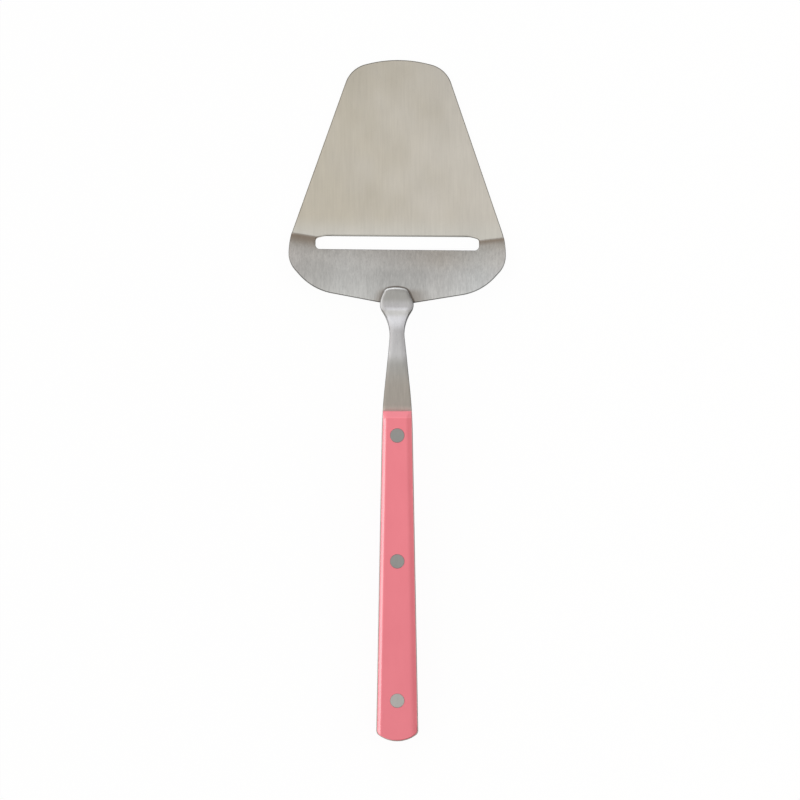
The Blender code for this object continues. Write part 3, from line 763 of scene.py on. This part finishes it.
def make_rivets(material):
    """Headed tubes from above and headed pins from below, each modelled once and copied along the handle."""
    shoulder = HALF_GRIP - RIVET_HEAD_HEIGHT
    end = CONTACT_GAP - shoulder
    bore = RIVET_PIN_RADIUS + CONTACT_GAP
    tube = add_post("rivet_tube", RIVET_HEAD_RADIUS, HALF_GRIP, shoulder, RIVET_TUBE_RADIUS, end)
    edit(tube)
    choose("FACE", lambda face: face.normal.z < -FACING and face.calc_center_median().z < end + ON_LINE)
    bpy.ops.mesh.inset(thickness=RIVET_TUBE_RADIUS - bore, depth=0.0)
    extrude(shoulder - end)
    leave()
    pin = add_post("rivet_pin", RIVET_HEAD_RADIUS, HALF_GRIP, shoulder, RIVET_PIN_RADIUS, end)
    for model, turn in ((tube, 0.0), (pin, math.pi)):
        edit(model)
        choose("EDGE", lambda edge: min(vert.co.z for vert in edge.verts) > HALF_GRIP - ON_LINE)
        bpy.ops.mesh.bevel(affect="EDGES", offset=RIVET_EDGE_ROUND, segments=EDGE_SEGMENTS, profile=0.5)
        point_outwards()
        leave()
        for name, along in RIVET_STATIONS.items():
            rivet = copy_piece(model, model.name + "_" + name + "_steel")
            station = HANDLE_FRAME @ Matrix.Translation((0.0, -along, 0.0))
            set_down(rivet, station @ Matrix.Rotation(turn, 4, "Y"))
            dress(rivet, material, "rivet_steel", model.name + "_" + name)
        bpy.data.objects.remove(model)


class Nodes:
    """Adds nodes to one shader tree; every input is given as a socket or as a plain value."""

    def __init__(self, tree):
        self.tree = tree

    def fill(self, node, inputs):
        """Links or sets inputs of a node."""
        for name, value in inputs.items():
            socket = node.inputs[name]
            if isinstance(value, bpy.types.NodeSocket):
                self.tree.links.new(value, socket)
            else:
                socket.default_value = (*value, 1.0) if socket.type == "RGBA" else value
        return node

    def add(self, kind, inputs=None, **settings):
        """A node with its settings and inputs."""
        node = self.tree.nodes.new("ShaderNode" + kind)
        for name, value in settings.items():
            setattr(node, name, value)
        return self.fill(node, inputs or {})

    def math(self, operation, *values):
        """The result of a math node."""
        return self.add("Math", dict(enumerate(values)), operation=operation).outputs["Value"]

    def product(self, *values):
        """The product of several values."""
        product = values[0]
        for value in values[1:]:
            product = self.math("MULTIPLY", product, value)
        return product

    def step(self, value, start, end, low=0.0, high=1.0):
        """A soft step from low to high as a value passes from start to end."""
        ends = {"Value": value, "From Min": start, "From Max": end, "To Min": low, "To Max": high}
        return self.add("MapRange", ends, interpolation_type="SMOOTHSTEP").outputs["Result"]

    def blend(self, share, first, second, label=""):
        """A mix of two colours."""
        return self.add("Mix", {0: share, 6: first, 7: second}, data_type="RGBA", label=label).outputs[2]

    def times(self, first, second):
        """A colour or vector multiplied by another, or by a value socket."""
        return self.add("VectorMath", {0: first, 1: second}, operation="MULTIPLY").outputs["Vector"]

    def layered(self, colour, measures, layers):
        """A colour with layers blended over it or tinting it, each where its measures pass their spans."""
        for label, kind, value, *spans in layers:
            share = self.product(*(self.step(measures[name], *span) for name, *span in spans))
            if isinstance(value, list):
                value = self.ramp(measures["across"], value)
            if kind == "tint":
                value = self.times(colour, value)
            colour = self.blend(share, colour, value, label)
        return colour

    def ramp(self, value, stops):
        """A colour ramp over a value from -1 to 1."""
        ramp = self.add("ValToRGB", {"Fac": self.math("MULTIPLY_ADD", value, 0.5, 0.5)})
        elements = ramp.color_ramp.elements
        while len(elements) < len(stops):
            elements.new(1.0)
        for element, (place, colour) in zip(elements, stops):
            element.position = place / 2.0 + 0.5
            element.color = (*colour, 1.0)
        return ramp.outputs["Color"]

    def split(self, vector):
        """The X, Y and Z of a vector."""
        parts = self.add("SeparateXYZ", {"Vector": vector}).outputs
        return parts["X"], parts["Y"], parts["Z"]

    def here(self):
        """Object coordinates."""
        return self.add("TexCoord").outputs["Object"]

    def on_head(self):
        """Object coordinates across and along the head, with its skew taken out."""
        turn = {"Vector": self.here(), "Center": (0.0, TIP_Y - HEAD_PIVOT, 0.0), "Angle": HEAD_TURN}
        square = self.add("VectorRotate", turn, rotation_type="Z_AXIS")
        return self.split(square.outputs["Vector"])[:2]

    def mark(self, name):
        """An attribute of the mesh."""
        return self.add("Attribute", attribute_name=name).outputs["Fac"]

    def group(self, group, **values):
        """The outputs of a node group with its own values."""
        return self.add("Group", values, node_tree=group).outputs

    def noise(self, across, along, detail, roughness, turn=None):
        """Noise whose features are one size across X and Z and another along Y."""
        place = self.here()
        if turn is not None:
            turned = self.add("VectorRotate", {"Vector": place, "Angle": turn}, rotation_type="Z_AXIS")
            place = turned.outputs["Vector"]
        sizes = {"X": across, "Y": along, "Z": across}
        shares = {axis: self.math("DIVIDE", 1.0, size) for axis, size in sizes.items()}
        scale = self.add("CombineXYZ", shares)
        look = {"Vector": self.times(place, scale.outputs["Vector"]), "Scale": 1.0,
                "Detail": detail, "Roughness": roughness}
        return self.add("TexNoise", look, noise_dimensions="3D").outputs["Fac"]

    def relief(self, height, strength, distance):
        """The normal of a fine relief."""
        look = {"Height": height, "Strength": strength, "Distance": distance}
        return self.add("Bump", look).outputs["Normal"]


# Noises of the marks on the surfaces as (detail, roughness), and the values between which a hairline starts
BRUSH_NOISE = (3.0, 0.65)
CLOUD_NOISE = (2.0, 0.5)
HAIRLINE_NOISE = (0.0, 0.5)
HAIRLINE_SPAN = (0.74, 0.82)


def new_group(name, inputs, outputs):
    """A shader node group of named values, with its nodes, its inputs' sockets and its output node."""
    group = bpy.data.node_groups.new(name, "ShaderNodeTree")
    for in_out, labels in (("INPUT", inputs), ("OUTPUT", outputs)):
        for label in labels:
            group.interface.new_socket(name=label, in_out=in_out, socket_type="NodeSocketFloat")
    given = group.nodes.new("NodeGroupInput").outputs
    return group, Nodes(group), given, group.nodes.new("NodeGroupOutput")


def make_tone_group(name, detail, roughness):
    """Noise stretched along Y: a value about 1 that varies by its strength, and a height."""
    group, nodes, given, result = new_group(name, ("Width", "Length", "Strength"), ("Tone", "Height"))
    noise = nodes.noise(given["Width"], given["Length"], detail, roughness)
    spread = nodes.math("MULTIPLY", nodes.math("SUBTRACT", noise, 0.5), given["Strength"])
    nodes.fill(result, {"Tone": nodes.math("ADD", spread, 1.0), "Height": noise})
    return group


def make_hairline_group():
    """Sparse hairline scratches at an angle to Y: a mask that is 1 on a scratch."""
    group, nodes, given, result = new_group("hairlines", ("Angle", "Width", "Length"), ("Mask",))
    lines = nodes.noise(given["Width"], given["Length"], *HAIRLINE_NOISE, turn=given["Angle"])
    nodes.fill(result, {"Mask": nodes.step(lines, *HAIRLINE_SPAN)})
    return group


def new_material(name):
    """A material with only a Principled shader and its output: itself, its nodes and its shader."""
    material = bpy.data.materials.new(name)
    material.use_nodes = True
    return material, Nodes(material.node_tree), material.node_tree.nodes["Principled BSDF"]


# Finishes of the three steels: clouds, brush lines, scratches and relief, and how their edges darken in
# colour, partly a duller edge and partly painted shade for the dark the rounded edges reflect: the plate's
# at its sides and at its ends, the shank's at the neck and at the tang, less on its lit left side
PLATE_FINISH = {"roughness": 0.34, "anisotropy": 0.75,
                "clouds": {"Width": 0.010, "Length": 0.016, "Strength": 0.20}}
SHANK_FINISH = {"roughness": 0.44, "anisotropy": 0.3,
                "clouds": {"Width": 0.005, "Length": 0.008, "Strength": 0.10}}
RIVET_FINISH = {"roughness": 0.42, "anisotropy": 0.3,
                "clouds": {"Width": 0.003, "Length": 0.0048, "Strength": 0.10}}
FINE_LINES = {"Width": 0.00022, "Length": 0.012}
WIDE_LINES = {"Width": 0.0007, "Length": 0.009}
SCRATCHES = ({"Angle": 1.2, "Width": 0.00010, "Length": 0.0070},
             {"Angle": -0.5, "Width": 0.00010, "Length": 0.0060})
SCRATCH_TONE = 0.93
STEEL_RELIEF = (0.12, 0.00002)
SPADE_LINES = 0.14
REAR_LINES = 0.50
SHANK_LINES = 0.28
RIVET_LINES = 0.12
PLATE_EDGE_LOSSES = (0.24, 0.42)
SHANK_EDGE_LOSSES = (0.50, 0.10)
# Share of the shank's painted edge shade kept on its lit left side
LEFT_EDGE_SHADE_SHARE = 0.4
EDGE_ROUGHNESS = 0.45


def brush_steel(nodes, shader, groups, colour, finish, lines, edge_loss):
    """Finishes a steel brushed along Y: lines and soft clouds in its tone and roughness, and some relief."""
    fine, wide = (nodes.group(groups["brush"], **kind, Strength=lines) for kind in (FINE_LINES, WIDE_LINES))
    cloud = nodes.group(groups["cloud"], **finish["clouds"])
    scratch = nodes.math("MAXIMUM", *(nodes.group(groups["hairline"], **kind)["Mask"] for kind in SCRATCHES))
    edge = nodes.mark("edge")
    # Edge darkening, partly a duller edge and partly painted shade, is taken off the tone
    tone = nodes.product(fine["Tone"], wide["Tone"], cloud["Tone"],
                         nodes.step(scratch, 0.0, 1.0, 1.0, SCRATCH_TONE),
                         nodes.math("SUBTRACT", 1.0, nodes.math("MULTIPLY", edge, edge_loss)))
    rough = nodes.math("ADD", nodes.math("MULTIPLY", fine["Tone"], finish["roughness"]),
                       nodes.math("MULTIPLY", edge, EDGE_ROUGHNESS))
    tangent = nodes.add("Tangent", direction_type="UV_MAP", uv_map="brush")
    nodes.fill(shader, {
        "Base Color": nodes.times(colour, tone), "Metallic": 1.0, "Roughness": rough,
        "Normal": nodes.relief(fine["Height"], *STEEL_RELIEF),
        "Anisotropic": finish["anisotropy"], "Tangent": tangent.outputs["Tangent"]})


# Painted shine and shade of the bent plate behind the slot, from its left ear to its right
THROAT_SHINE = [
    (-0.80, (1.05, 1.05, 1.05)),
    (-0.45, (1.16, 1.16, 1.16)),
    (0.00, (1.05, 1.04, 1.03)),
    (0.40, (1.00, 0.97, 0.93)),
    (0.70, (1.03, 1.02, 1.00)),
]
EAR_SHINE = [
    (-1.00, (1.09, 1.07, 1.06)),
    (-0.75, (1.06, 1.06, 1.05)),
    (-0.50, (1.02, 1.03, 1.03)),
    (0.40, (1.00, 1.00, 1.00)),
    (0.75, (1.15, 1.18, 1.20)),
    (1.00, (1.19, 1.20, 1.21)),
]

# Layers on the plate in their order: name, kind, colour or tint (a list is a ramp across the head), and each
# measure with the span over which the layer comes in, and with the strengths at its ends if not 0 and 1
PLATE_LAYERS = (
    ("darker tip", "tint", (0.93, 0.93, 0.93), ("from_tip", 0.035, 0.0)),
    # Painted sheen: the pale band before the cutting edge stands in for light off the lip's slight curl
    ("pale before the slot", "blend", (0.562, 0.546, 0.505), ("before_edge", 0.008, 0.0)),
    ("grey behind the slot", "blend", (0.512, 0.507, 0.497), ("behind", -0.001, 0.005)),
    # Painted shine and shade on the bent throat and ears, by the ramps above
    ("throat", "tint", THROAT_SHINE, ("behind", 0.0005, 0.003), ("behind", 0.013, 0.007)),
    ("ears", "tint", EAR_SHINE, ("behind", 0.001, 0.005)),
    # Painted sheen brightening the bent heel
    ("bright heel", "tint", (1.09, 1.09, 1.09), ("behind", 0.010, BEND_LENGTH)),
    # Painted shade on the lower left ear
    ("dull left ear", "tint", (0.89, 0.89, 0.89), ("left_ear", 0.0, 1.0)),
    ("shade of the crease", "tint", (0.62, 0.54, 0.48),
     ("past_crease", -CREASE_ROUND, CREASE_ROUND), ("crease_fade", 1.0, 0.1)),
    ("shade round the paddle", "tint", (0.89, 0.89, 0.89), ("paddle_shade", 0.0, 1.0)),
    ("heat tint", "blend", (0.315, 0.290, 0.265),
     ("heat_fade", 1.0, 0.0), ("above_heel", 0.0068, 0.0045, 0.0, 0.9)),
    # Weld line: a dark joint round the paddle, faint on its lit left side and full on the top and right as
    # painted shadow
    ("weld line", "blend", (0.150, 0.128, 0.110),
     ("from_paddle", 0.00080, 0.00040), ("x", -0.0048, -0.0030, 0.3, 0.90)),
)

# The spade's two steels under those layers, and the spans and widths that their measures are made with
# The warm steel of the spade is partly its own tint and partly a painted warm reflection
SPADE_WARM = (0.548, 0.519, 0.471)
SPADE_OLIVE = (0.510, 0.475, 0.407)
OLIVE_PATCHES = {"Width": 0.014, "Length": 0.0182, "Strength": 1.0}
OLIVE_SPAN = (0.1, 0.9)
LEFT_EAR_SPAN = (-0.45, -0.75)
LOW_EAR_SPAN = (0.005, 0.010)
CREASE_FADE_SPAN = (-SLOT_HALF, -SLOT_HALF + 0.006)
CREASE_FADE_WIDTHS = (0.0050, 0.0024)
REAR_LINES_SPAN = (-0.001, 0.003)
TIP_EDGE_SPAN = (0.012, 0.002)
HEEL_EDGE_SPAN = (0.006, 0.014)
PADDLE_CROWN_BOW = PADDLE_CROWN / (PADDLE_TOP_WIDTH / 2.0) ** 2
PADDLE_FLARE = (SHOULDER_WIDTH - PADDLE_TOP_WIDTH) / 2.0 / PADDLE_OVERLAP
SHADE_SIDE_SPAN = (0.0160, 0.0060)
SHADE_TOP_SPAN = (0.0150, 0.0100)
HEAT_WIDTHS = (0.0036, 0.0085)
AXIS_SPAN = (-0.001, 0.001)


def paddle_measures(nodes, x, y):
    """Measures of the plate round the leaning paddle that is welded on it."""
    above_heel = nodes.math("SUBTRACT", y, HEEL_Y)
    x = nodes.math("ADD", x, nodes.step(above_heel, 0.0, PADDLE_LEAN_RUN, 0.0, PADDLE_LEAN))
    off_axis = nodes.math("ABSOLUTE", x)
    half_width = nodes.math("MULTIPLY_ADD", above_heel, -PADDLE_FLARE, SHOULDER_WIDTH / 2.0)
    beside = nodes.math("SUBTRACT", off_axis, half_width)
    crown = nodes.product(x, x, PADDLE_CROWN_BOW)
    before = nodes.math("SUBTRACT", nodes.math("ADD", above_heel, crown), PADDLE_OVERLAP)
    shade = nodes.product(nodes.step(off_axis, *SHADE_SIDE_SPAN), nodes.step(above_heel, *SHADE_TOP_SPAN))
    return {
        "x": x, "above_heel": above_heel, "paddle_shade": shade,
        "heat_fade": nodes.math("DIVIDE", beside, nodes.step(x, *AXIS_SPAN, *HEAT_WIDTHS)),
        "from_paddle": nodes.math("SMOOTH_MAX", beside, before, PADDLE_CORNER_RADIUS)}


def plate_finish(groups):
    """The plate's steel: warm on the spade, partly as a painted warm reflection, greyer behind the slot,
    browned along the paddle's weld, and with painted shine and shade on its bent part and round the paddle.
    """
    material, nodes, shader = new_material("brushed_plate")
    x, y = nodes.on_head()
    from_tip = nodes.math("SUBTRACT", TIP_Y, y)
    behind = nodes.math("SUBTRACT", CREASE_Y, y)
    across = nodes.math("MULTIPLY", x, 2.0 / HEAD_WIDTH)
    bridge = nodes.math("MAXIMUM", nodes.math("SUBTRACT", nodes.math("ABSOLUTE", x), SLOT_HALF), 0.0)
    skew = nodes.math("ADD", nodes.math("MULTIPLY", bridge, math.tan(CREASE_SKEW)),
                      nodes.math("MULTIPLY", x, -math.tan(CREASE_TURN)))
    past_crease = nodes.math("ADD", behind, skew)
    fade_width = nodes.step(x, *CREASE_FADE_SPAN, *CREASE_FADE_WIDTHS)
    measures = {
        "from_tip": from_tip, "before_edge": nodes.math("SUBTRACT", y, EDGE_Y),
        "behind": behind, "across": across, "past_crease": past_crease,
        "crease_fade": nodes.math("DIVIDE", past_crease, fade_width),
        "left_ear": nodes.product(nodes.step(across, *LEFT_EAR_SPAN), nodes.step(behind, *LOW_EAR_SPAN)),
        **paddle_measures(nodes, x, y)}
    patches = nodes.group(groups["cloud"], **OLIVE_PATCHES)["Tone"]
    leftward = nodes.math("MULTIPLY_ADD", across, -0.5, -0.5)
    olive = nodes.step(nodes.math("ADD", patches, leftward), *OLIVE_SPAN)
    colour = nodes.layered(nodes.blend(olive, SPADE_WARM, SPADE_OLIVE), measures, PLATE_LAYERS)
    lines = nodes.step(behind, *REAR_LINES_SPAN, SPADE_LINES, REAR_LINES)
    edge_loss = nodes.math("MAXIMUM", nodes.step(from_tip, *TIP_EDGE_SPAN, *PLATE_EDGE_LOSSES),
                           nodes.step(behind, *HEEL_EDGE_SPAN, *PLATE_EDGE_LOSSES))
    brush_steel(nodes, shader, groups, colour, PLATE_FINISH, lines, edge_loss)
    return material


# The shank's steel and the layers on it
NECK_GREY = (0.390, 0.385, 0.372)
SHANK_LAYERS = (
    ("browner tang", "blend", (0.374, 0.348, 0.317), ("past_waist", 0.012, 0.022)),
    # Painted highlight: the bright band down the neck stands in for the window it reflects where it rises
    ("buffed neck", "blend", (0.564, 0.561, 0.570),
     ("past_heel", -0.0030, 0.0004), ("past_waist", 0.014, 0.009)),
    # Painted shade: a darker band across the neck just below the heel
    ("dent", "blend", (0.472, 0.466, 0.450), ("past_heel", 0.0010, 0.0022), ("past_heel", 0.0046, 0.0026)),
    # Painted light: the tang is brightened just before the scales against the shade of their front walls
    ("bright at the scales", "tint", (1.42, 1.42, 1.42), ("before_scales", 0.0022, 0.0)),
    # Painted highlight along the rim of the paddle, on its lit left half
    ("worn rim", "blend", (0.63, 0.63, 0.63), ("rim", 0.00010, 0.00022), ("rim", 0.00085, 0.00045),
     ("x", 0.0038, 0.0), ("past_heel", 0.002, -0.002)),
)
SHANK_EDGE_SPAN = (0.005, WAIST_Y - SCALE_FRONT.y)


def shank_finish(groups):
    """The shank's steel: satin, with painted highlights along the neck and the paddle's left rim, a painted
    shade band below the heel, painted light before the scales, and a little browner at the tang.
    """
    material, nodes, shader = new_material("satin_shank")
    x, y = nodes.on_head()
    past_waist = nodes.math("SUBTRACT", WAIST_Y, y)
    measures = {
        "x": x, "rim": nodes.mark("rim"), "past_heel": nodes.math("SUBTRACT", HEEL_Y, y),
        "past_waist": past_waist, "before_scales": nodes.math("SUBTRACT", y, SCALE_FRONT.y)}
    colour = nodes.layered(NECK_GREY, measures, SHANK_LAYERS)
    edge_loss = nodes.product(nodes.step(past_waist, *SHANK_EDGE_SPAN, *SHANK_EDGE_LOSSES),
                              nodes.step(x, *AXIS_SPAN, LEFT_EDGE_SHADE_SHARE, 1.0))
    brush_steel(nodes, shader, groups, colour, SHANK_FINISH, SHANK_LINES, edge_loss)
    return material


# Steel of the front and middle rivets, and of the rear one
RIVET_DULL = (0.303, 0.303, 0.296)
RIVET_FRESH = (0.438, 0.433, 0.419)


def rivet_finish(groups):
    """The rivets' steel: dull and ground flat, the rear one less worn."""
    material, nodes, shader = new_material("ground_rivets")
    y = nodes.on_head()[1]
    middle_y, rear_y = (on_handle(RIVET_STATIONS[name], 0.0).x for name in ("middle", "rear"))
    colour = nodes.blend(nodes.step(y, middle_y, rear_y), RIVET_DULL, RIVET_FRESH)
    brush_steel(nodes, shader, groups, colour, RIVET_FINISH, RIVET_LINES, 0.0)
    return material


# The plastic's two mottled pinks, the layers on them, the painted light and shade of its rim at the butt,
# and its grain
PINK_DEEP = (0.683, 0.1600, 0.1985)
PINK_LIGHT = (0.711, 0.173, 0.212)
MOTTLE = {"Width": 0.006, "Length": 0.015, "Strength": 1.0}
MOTTLE_SPAN = (0.7, 1.3)
PLASTIC_LAYERS = (
    ("darker butt", "tint", (0.935, 0.935, 0.935), ("above_butt", HANDLE_LENGTH, 0.0)),
    # Painted light on the front chamfer, which faces the light
    ("sloped front", "tint", (1.03, 1.19, 1.17), ("past_ridge", -0.0002, 0.0001)),
    # Painted highlight along the ridge between the chamfer and the top
    ("front ridge", "tint", (1.05, 1.10, 1.08),
     ("past_ridge", -0.0004, -0.0001), ("past_ridge", 0.0004, 0.0001)),
)
# Painted light and shade on the rounded rim at the butt: lighter on the left, darker on the right
BUTT_RIM_SPANS = (("edge", 0.0, 1.0), ("above_butt", 0.0065, 0.0045))
BUTT_SIDES_SPAN = (-0.004, 0.001)
BUTT_RIM_LIGHT_AND_SHADE = ((1.10, 1.12, 1.10), (0.62, 0.48, 0.48))
PLASTIC_IOR = 1.58
PLASTIC_ROUGHNESS = 0.27
GRAIN = (0.0004, 0.0005, 2.0, 0.5)
GRAIN_ROUGHNESS = 0.08
GRAIN_RELIEF = (0.07, 0.00003)


def plastic_finish(groups):
    """The scales' moulded plastic: a satin pink with slight clouds and a fine moulded grain, painted light
    on its sloped front and ridge, and painted light and shade on its rim at the butt.
    """
    material, nodes, shader = new_material("pink_plastic")
    x, y, _ = nodes.split(nodes.here())
    measures = {
        "edge": nodes.mark("edge"), "above_butt": nodes.math("SUBTRACT", y, BUTT_Y),
        "past_ridge": nodes.math("SUBTRACT", y, SCALE_FRONT.y - SCALE_END_LENGTH)}
    rim_light_and_shade = nodes.blend(nodes.step(x, *BUTT_SIDES_SPAN), *BUTT_RIM_LIGHT_AND_SHADE)
    layers = (*PLASTIC_LAYERS, ("rim at the butt", "tint", rim_light_and_shade, *BUTT_RIM_SPANS))
    mottle = nodes.step(nodes.group(groups["cloud"], **MOTTLE)["Tone"], *MOTTLE_SPAN)
    colour = nodes.layered(nodes.blend(mottle, PINK_DEEP, PINK_LIGHT), measures, layers)
    grain = nodes.noise(*GRAIN)
    nodes.fill(shader, {
        "Base Color": colour, "IOR": PLASTIC_IOR, "Normal": nodes.relief(grain, *GRAIN_RELIEF),
        "Roughness": nodes.math("MULTIPLY_ADD", grain, GRAIN_ROUGHNESS, PLASTIC_ROUGHNESS)})
    return material


# Studio: radiance of the surroundings by direction, along Y from the butt's side to the tip's side
SKY_ALONG = [
    (-1.00, (0.30, 0.30, 0.30)),
    (-0.75, (0.42, 0.41, 0.40)),
    (-0.55, (0.62, 0.61, 0.60)),
    (-0.38, (0.87, 0.85, 0.83)),
    (-0.20, (0.975, 0.955, 0.92)),
    (0.00, (0.945, 0.925, 0.885)),
    (0.16, (0.935, 0.935, 0.925)),
    (0.30, (0.83, 0.83, 0.82)),
    (0.45, (0.79, 0.78, 0.77)),
    (0.56, (0.68, 0.66, 0.64)),
    (0.62, (0.52, 0.49, 0.46)),
    (0.66, (0.29, 0.25, 0.21)),
    (0.70, (0.28, 0.25, 0.22)),
    (0.745, (0.90, 0.90, 0.91)),
    (0.795, (1.38, 1.39, 1.42)),
    (0.94, (1.44, 1.45, 1.48)),
    (1.00, (2.70, 2.70, 2.72)),
]

# The same across X, as a grey factor, from the bright left side to the right side
SKY_ACROSS = [(place, (grey, grey, grey)) for place, grey in (
    (-1.00, 1.95), (-0.75, 1.78), (-0.45, 1.38), (-0.15, 1.07), (0.10, 0.99),
    (0.40, 1.02), (0.65, 1.02), (0.83, 0.50), (1.00, 0.02))]
SKY_BOW = 0.30
LOW_SKY_SPAN = (0.14, 0.34)
LOW_SKY_TONE = 0.60
HORIZON_SPAN = (0.04, 0.09)
WHITE = (1.0, 1.0, 1.0)

# Floor, soft lights and camera
FLOOR_SIZE = 30.0
FLOOR_DROP = 0.0001
FLOOR_GREY = (0.90, 0.90, 0.90)
FLOOR_ROUGHNESS = 0.9
FLOOR_GLOW = 0.95
LEFT_STRIP = {"place": (-0.87, -0.14, 0.50), "size": (0.60, 0.12), "radiance": 16.0}
RIGHT_FILL = {"place": (1.0, 0.0, 0.22), "size": (0.40, 1.2), "radiance": 3.4, "colour": (1.0, 0.93, 0.82)}
LENS = 300.0
SENSOR = 36.0
PICTURE_WIDTH = 0.28198
PICTURE_MIDDLE = (0.00096, 0.00025, 0.006)


def make_world():
    """Soft studio surroundings, graded along and across the slicer, and white where the camera sees them."""
    world = bpy.data.worlds.new("studio")
    bpy.context.scene.world = world
    world.use_nodes = True
    nodes = Nodes(world.node_tree)
    x, y, z = nodes.split(nodes.add("TexCoord").outputs["Generated"])
    bowed = nodes.math("ADD", y, nodes.product(x, x, SKY_BOW))
    sky = nodes.times(nodes.ramp(bowed, SKY_ALONG), nodes.ramp(x, SKY_ACROSS))
    height = nodes.math("ABSOLUTE", z)
    sky = nodes.times(sky, nodes.step(height, *LOW_SKY_SPAN, LOW_SKY_TONE, 1.0))
    sky = nodes.blend(nodes.step(height, *HORIZON_SPAN), WHITE, sky)
    sky = nodes.blend(nodes.add("LightPath").outputs["Is Camera Ray"], sky, WHITE)
    nodes.fill(world.node_tree.nodes["Background"], {"Color": sky})


def make_floor():
    """A wide pale floor that looks white and keeps a soft shadow, and is clear from below."""
    bpy.ops.mesh.primitive_plane_add(size=FLOOR_SIZE, location=(0.0, 0.0, -FLOOR_DROP))
    floor = bpy.context.object
    floor.name = "floor"
    material, nodes, shader = new_material("pale_floor")
    nodes.fill(shader, {"Base Color": FLOOR_GREY, "Roughness": FLOOR_ROUGHNESS, "Specular IOR Level": 0.0})
    glow = nodes.add("Emission", {"Color": WHITE, "Strength": 1.0}).outputs["Emission"]
    path = nodes.add("LightPath").outputs
    seen = nodes.math("MAXIMUM", path["Is Camera Ray"], path["Is Glossy Ray"])
    seen = nodes.math("MAXIMUM", seen, path["Is Transmission Ray"])
    glow_share = nodes.math("MULTIPLY", seen, FLOOR_GLOW)
    above = nodes.add("MixShader", {"Fac": glow_share, 1: shader.outputs["BSDF"], 2: glow}).outputs["Shader"]
    clear = nodes.add("BsdfTransparent").outputs["BSDF"]
    below = nodes.add("NewGeometry").outputs["Backfacing"]
    one_sided = nodes.add("MixShader", {"Fac": below, 1: above, 2: clear}).outputs["Shader"]
    nodes.fill(material.node_tree.nodes["Material Output"], {"Surface": one_sided})
    floor.data.materials.append(material)


def add_softbox(name, place, size, radiance, colour=WHITE, mirrored=True, lit=()):
    """A rectangular soft light of a given radiance, aimed at the slicer, for all or only some pieces."""
    lamp = bpy.data.lights.new(name, "AREA")
    lamp.shape = "RECTANGLE"
    lamp.size, lamp.size_y = size
    lamp.energy = radiance * math.pi * size[0] * size[1]
    lamp.color = colour
    box = bpy.data.objects.new(name, lamp)
    box.location = place
    box.rotation_euler = (-Vector(place)).to_track_quat("-Z", "Y").to_euler()
    box.visible_glossy = mirrored
    if lit:
        receivers = bpy.data.collections.new(name + "_receivers")
        for piece in lit:
            receivers.objects.link(piece)
        box.light_linking.receiver_collection = receivers
    bpy.context.scene.collection.objects.link(box)


def make_camera():
    """The camera, straight above the slicer with its tip at the top of the picture."""
    lens = bpy.data.cameras.new("camera")
    lens.lens = LENS
    lens.sensor_width = SENSOR
    camera = bpy.data.objects.new("camera", lens)
    camera.location = Vector(PICTURE_MIDDLE) + Vector((0.0, 0.0, PICTURE_WIDTH * LENS / SENSOR))
    bpy.context.scene.collection.objects.link(camera)
    bpy.context.scene.camera = camera


groups = {
    "brush": make_tone_group("brush_lines", *BRUSH_NOISE),
    "cloud": make_tone_group("soft_clouds", *CLOUD_NOISE),
    "hairline": make_hairline_group(),
}
plate_steel = plate_finish(groups)
shank_steel = shank_finish(groups)
rivet_steel = rivet_finish(groups)
pink_plastic = plastic_finish(groups)

make_plate(plate_steel)
make_shank(shank_steel)
scales = make_scales(pink_plastic)
make_rivets(rivet_steel)

make_world()
make_floor()
add_softbox("left_strip", **LEFT_STRIP, lit=scales)
add_softbox("right_fill", **RIGHT_FILL, mirrored=False)
make_camera()
bpy.context.scene.view_settings.view_transform = "Standard"
